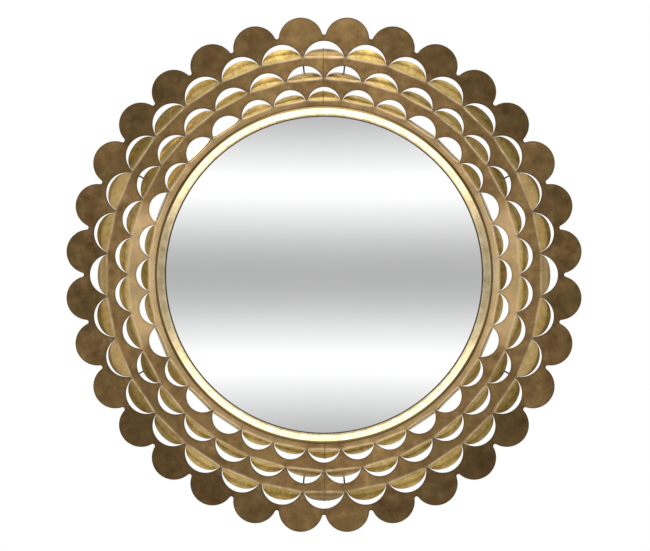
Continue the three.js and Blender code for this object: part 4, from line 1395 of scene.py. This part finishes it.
# ahead of the glass: a dim level line between two long bright panels
ahead = maths(nt, "MULTIPLY", ramp(nt, az, [
    (0.0, 0.372), (0.04, 0.385), (0.09, 0.485), (0.14, 0.630), (0.19, 0.770), (0.235, 0.915), (0.28, 0.765),
    (0.33, 0.630), (0.38, 0.485), (0.43, 0.370)], "B_SPLINE"), 1.30)
# around it: broad boxes above and below, dim corners, weaker fill at the sides
# and one upright strip on each side
turned = maths(nt, "DIVIDE", maths(nt, "ARCTAN2", ax, az), math.pi / 2)
ahead_y = maths(nt, "MULTIPLY", sep.outputs["Y"], -1.0)
ring_near = maths(nt, "MULTIPLY", ramp(nt, turned, [(0.0, 0.98), (0.50, 0.88), (0.86, 0.20), (1.0, 0.17)], "EASE"), 2.6)
ring_wide = maths(nt, "MULTIPLY", ramp(nt, turned, [
    (0.0, 0.76), (0.33, 0.72), (0.48, 0.24), (0.68, 0.21), (0.82, 0.36), (1.0, 0.42)], "EASE"), 2.0)
around = mix(nt, step(ahead_y, 0.60, 0.72), ring_wide, ring_near)
strip = maths(nt, "MULTIPLY", step(turned, 0.66, 0.80), step(ahead_y, 0.34, 0.44))
strip = maths(nt, "MULTIPLY", strip, step(ahead_y, 0.70, 0.60))
around = mix(nt, maths(nt, "MULTIPLY", strip, 0.9), around, (1.5, 1.5, 1.5))
front = step(ahead_y, 0.868, 0.904)
back = step(sep.outputs["Y"], 0.48, 0.90)
level = mix(nt, front, around, ahead)
level = mix(nt, back, level, (0.90, 0.90, 0.90))
bg = nt.nodes.new("ShaderNodeBackground")
nt.links.new(level, bg.inputs["Color"])
white = nt.nodes.new("ShaderNodeBackground")
white.inputs["Color"].default_value = (1, 1, 1, 1)
path = nt.nodes.new("ShaderNodeLightPath")
mixs = nt.nodes.new("ShaderNodeMixShader")
nt.links.new(path.outputs["Is Camera Ray"], mixs.inputs[0])
nt.links.new(bg.outputs[0], mixs.inputs[1])
nt.links.new(white.outputs[0], mixs.inputs[2])
nt.links.new(mixs.outputs[0], out.inputs[0])


def softbox(name, where, aim, size, power, colour=(1, 1, 1)):
    d = bpy.data.lights.new(name, "AREA")
    d.shape = "RECTANGLE"
    d.size, d.size_y = size
    d.energy = power
    d.color = colour
    o = bpy.data.objects.new(name, d)
    bpy.context.scene.collection.objects.link(o)
    o.location = where
    o.rotation_euler = (Vector(aim) - Vector(where)).to_track_quat("-Z", "Y").to_euler()
    o.visible_camera = False
    return o


softbox("light_above", (0, 0.1, 2.2), (0, 0, 0), (1.6, 1.0), 14)
softbox("light_rear", (-1.2, 2.4, 1.6), (0, 0, 0), (1.4, 1.4), 40)

# ------------------------------------------------------------------- camera
cam_d = bpy.data.cameras.new("camera")
cam = bpy.data.objects.new("camera", cam_d)
bpy.context.scene.collection.objects.link(cam)
cam.location = (0, -3.5, 0)
cam.rotation_euler = (math.radians(90), 0, 0)
cam_d.sensor_width = 36.0
cam_d.lens = 108.97
cam_d.shift_x = 1.0 / 650
cam_d.shift_y = -0.75 / 650
bpy.context.scene.camera = cam
bpy.context.scene.view_settings.view_transform = "Standard"
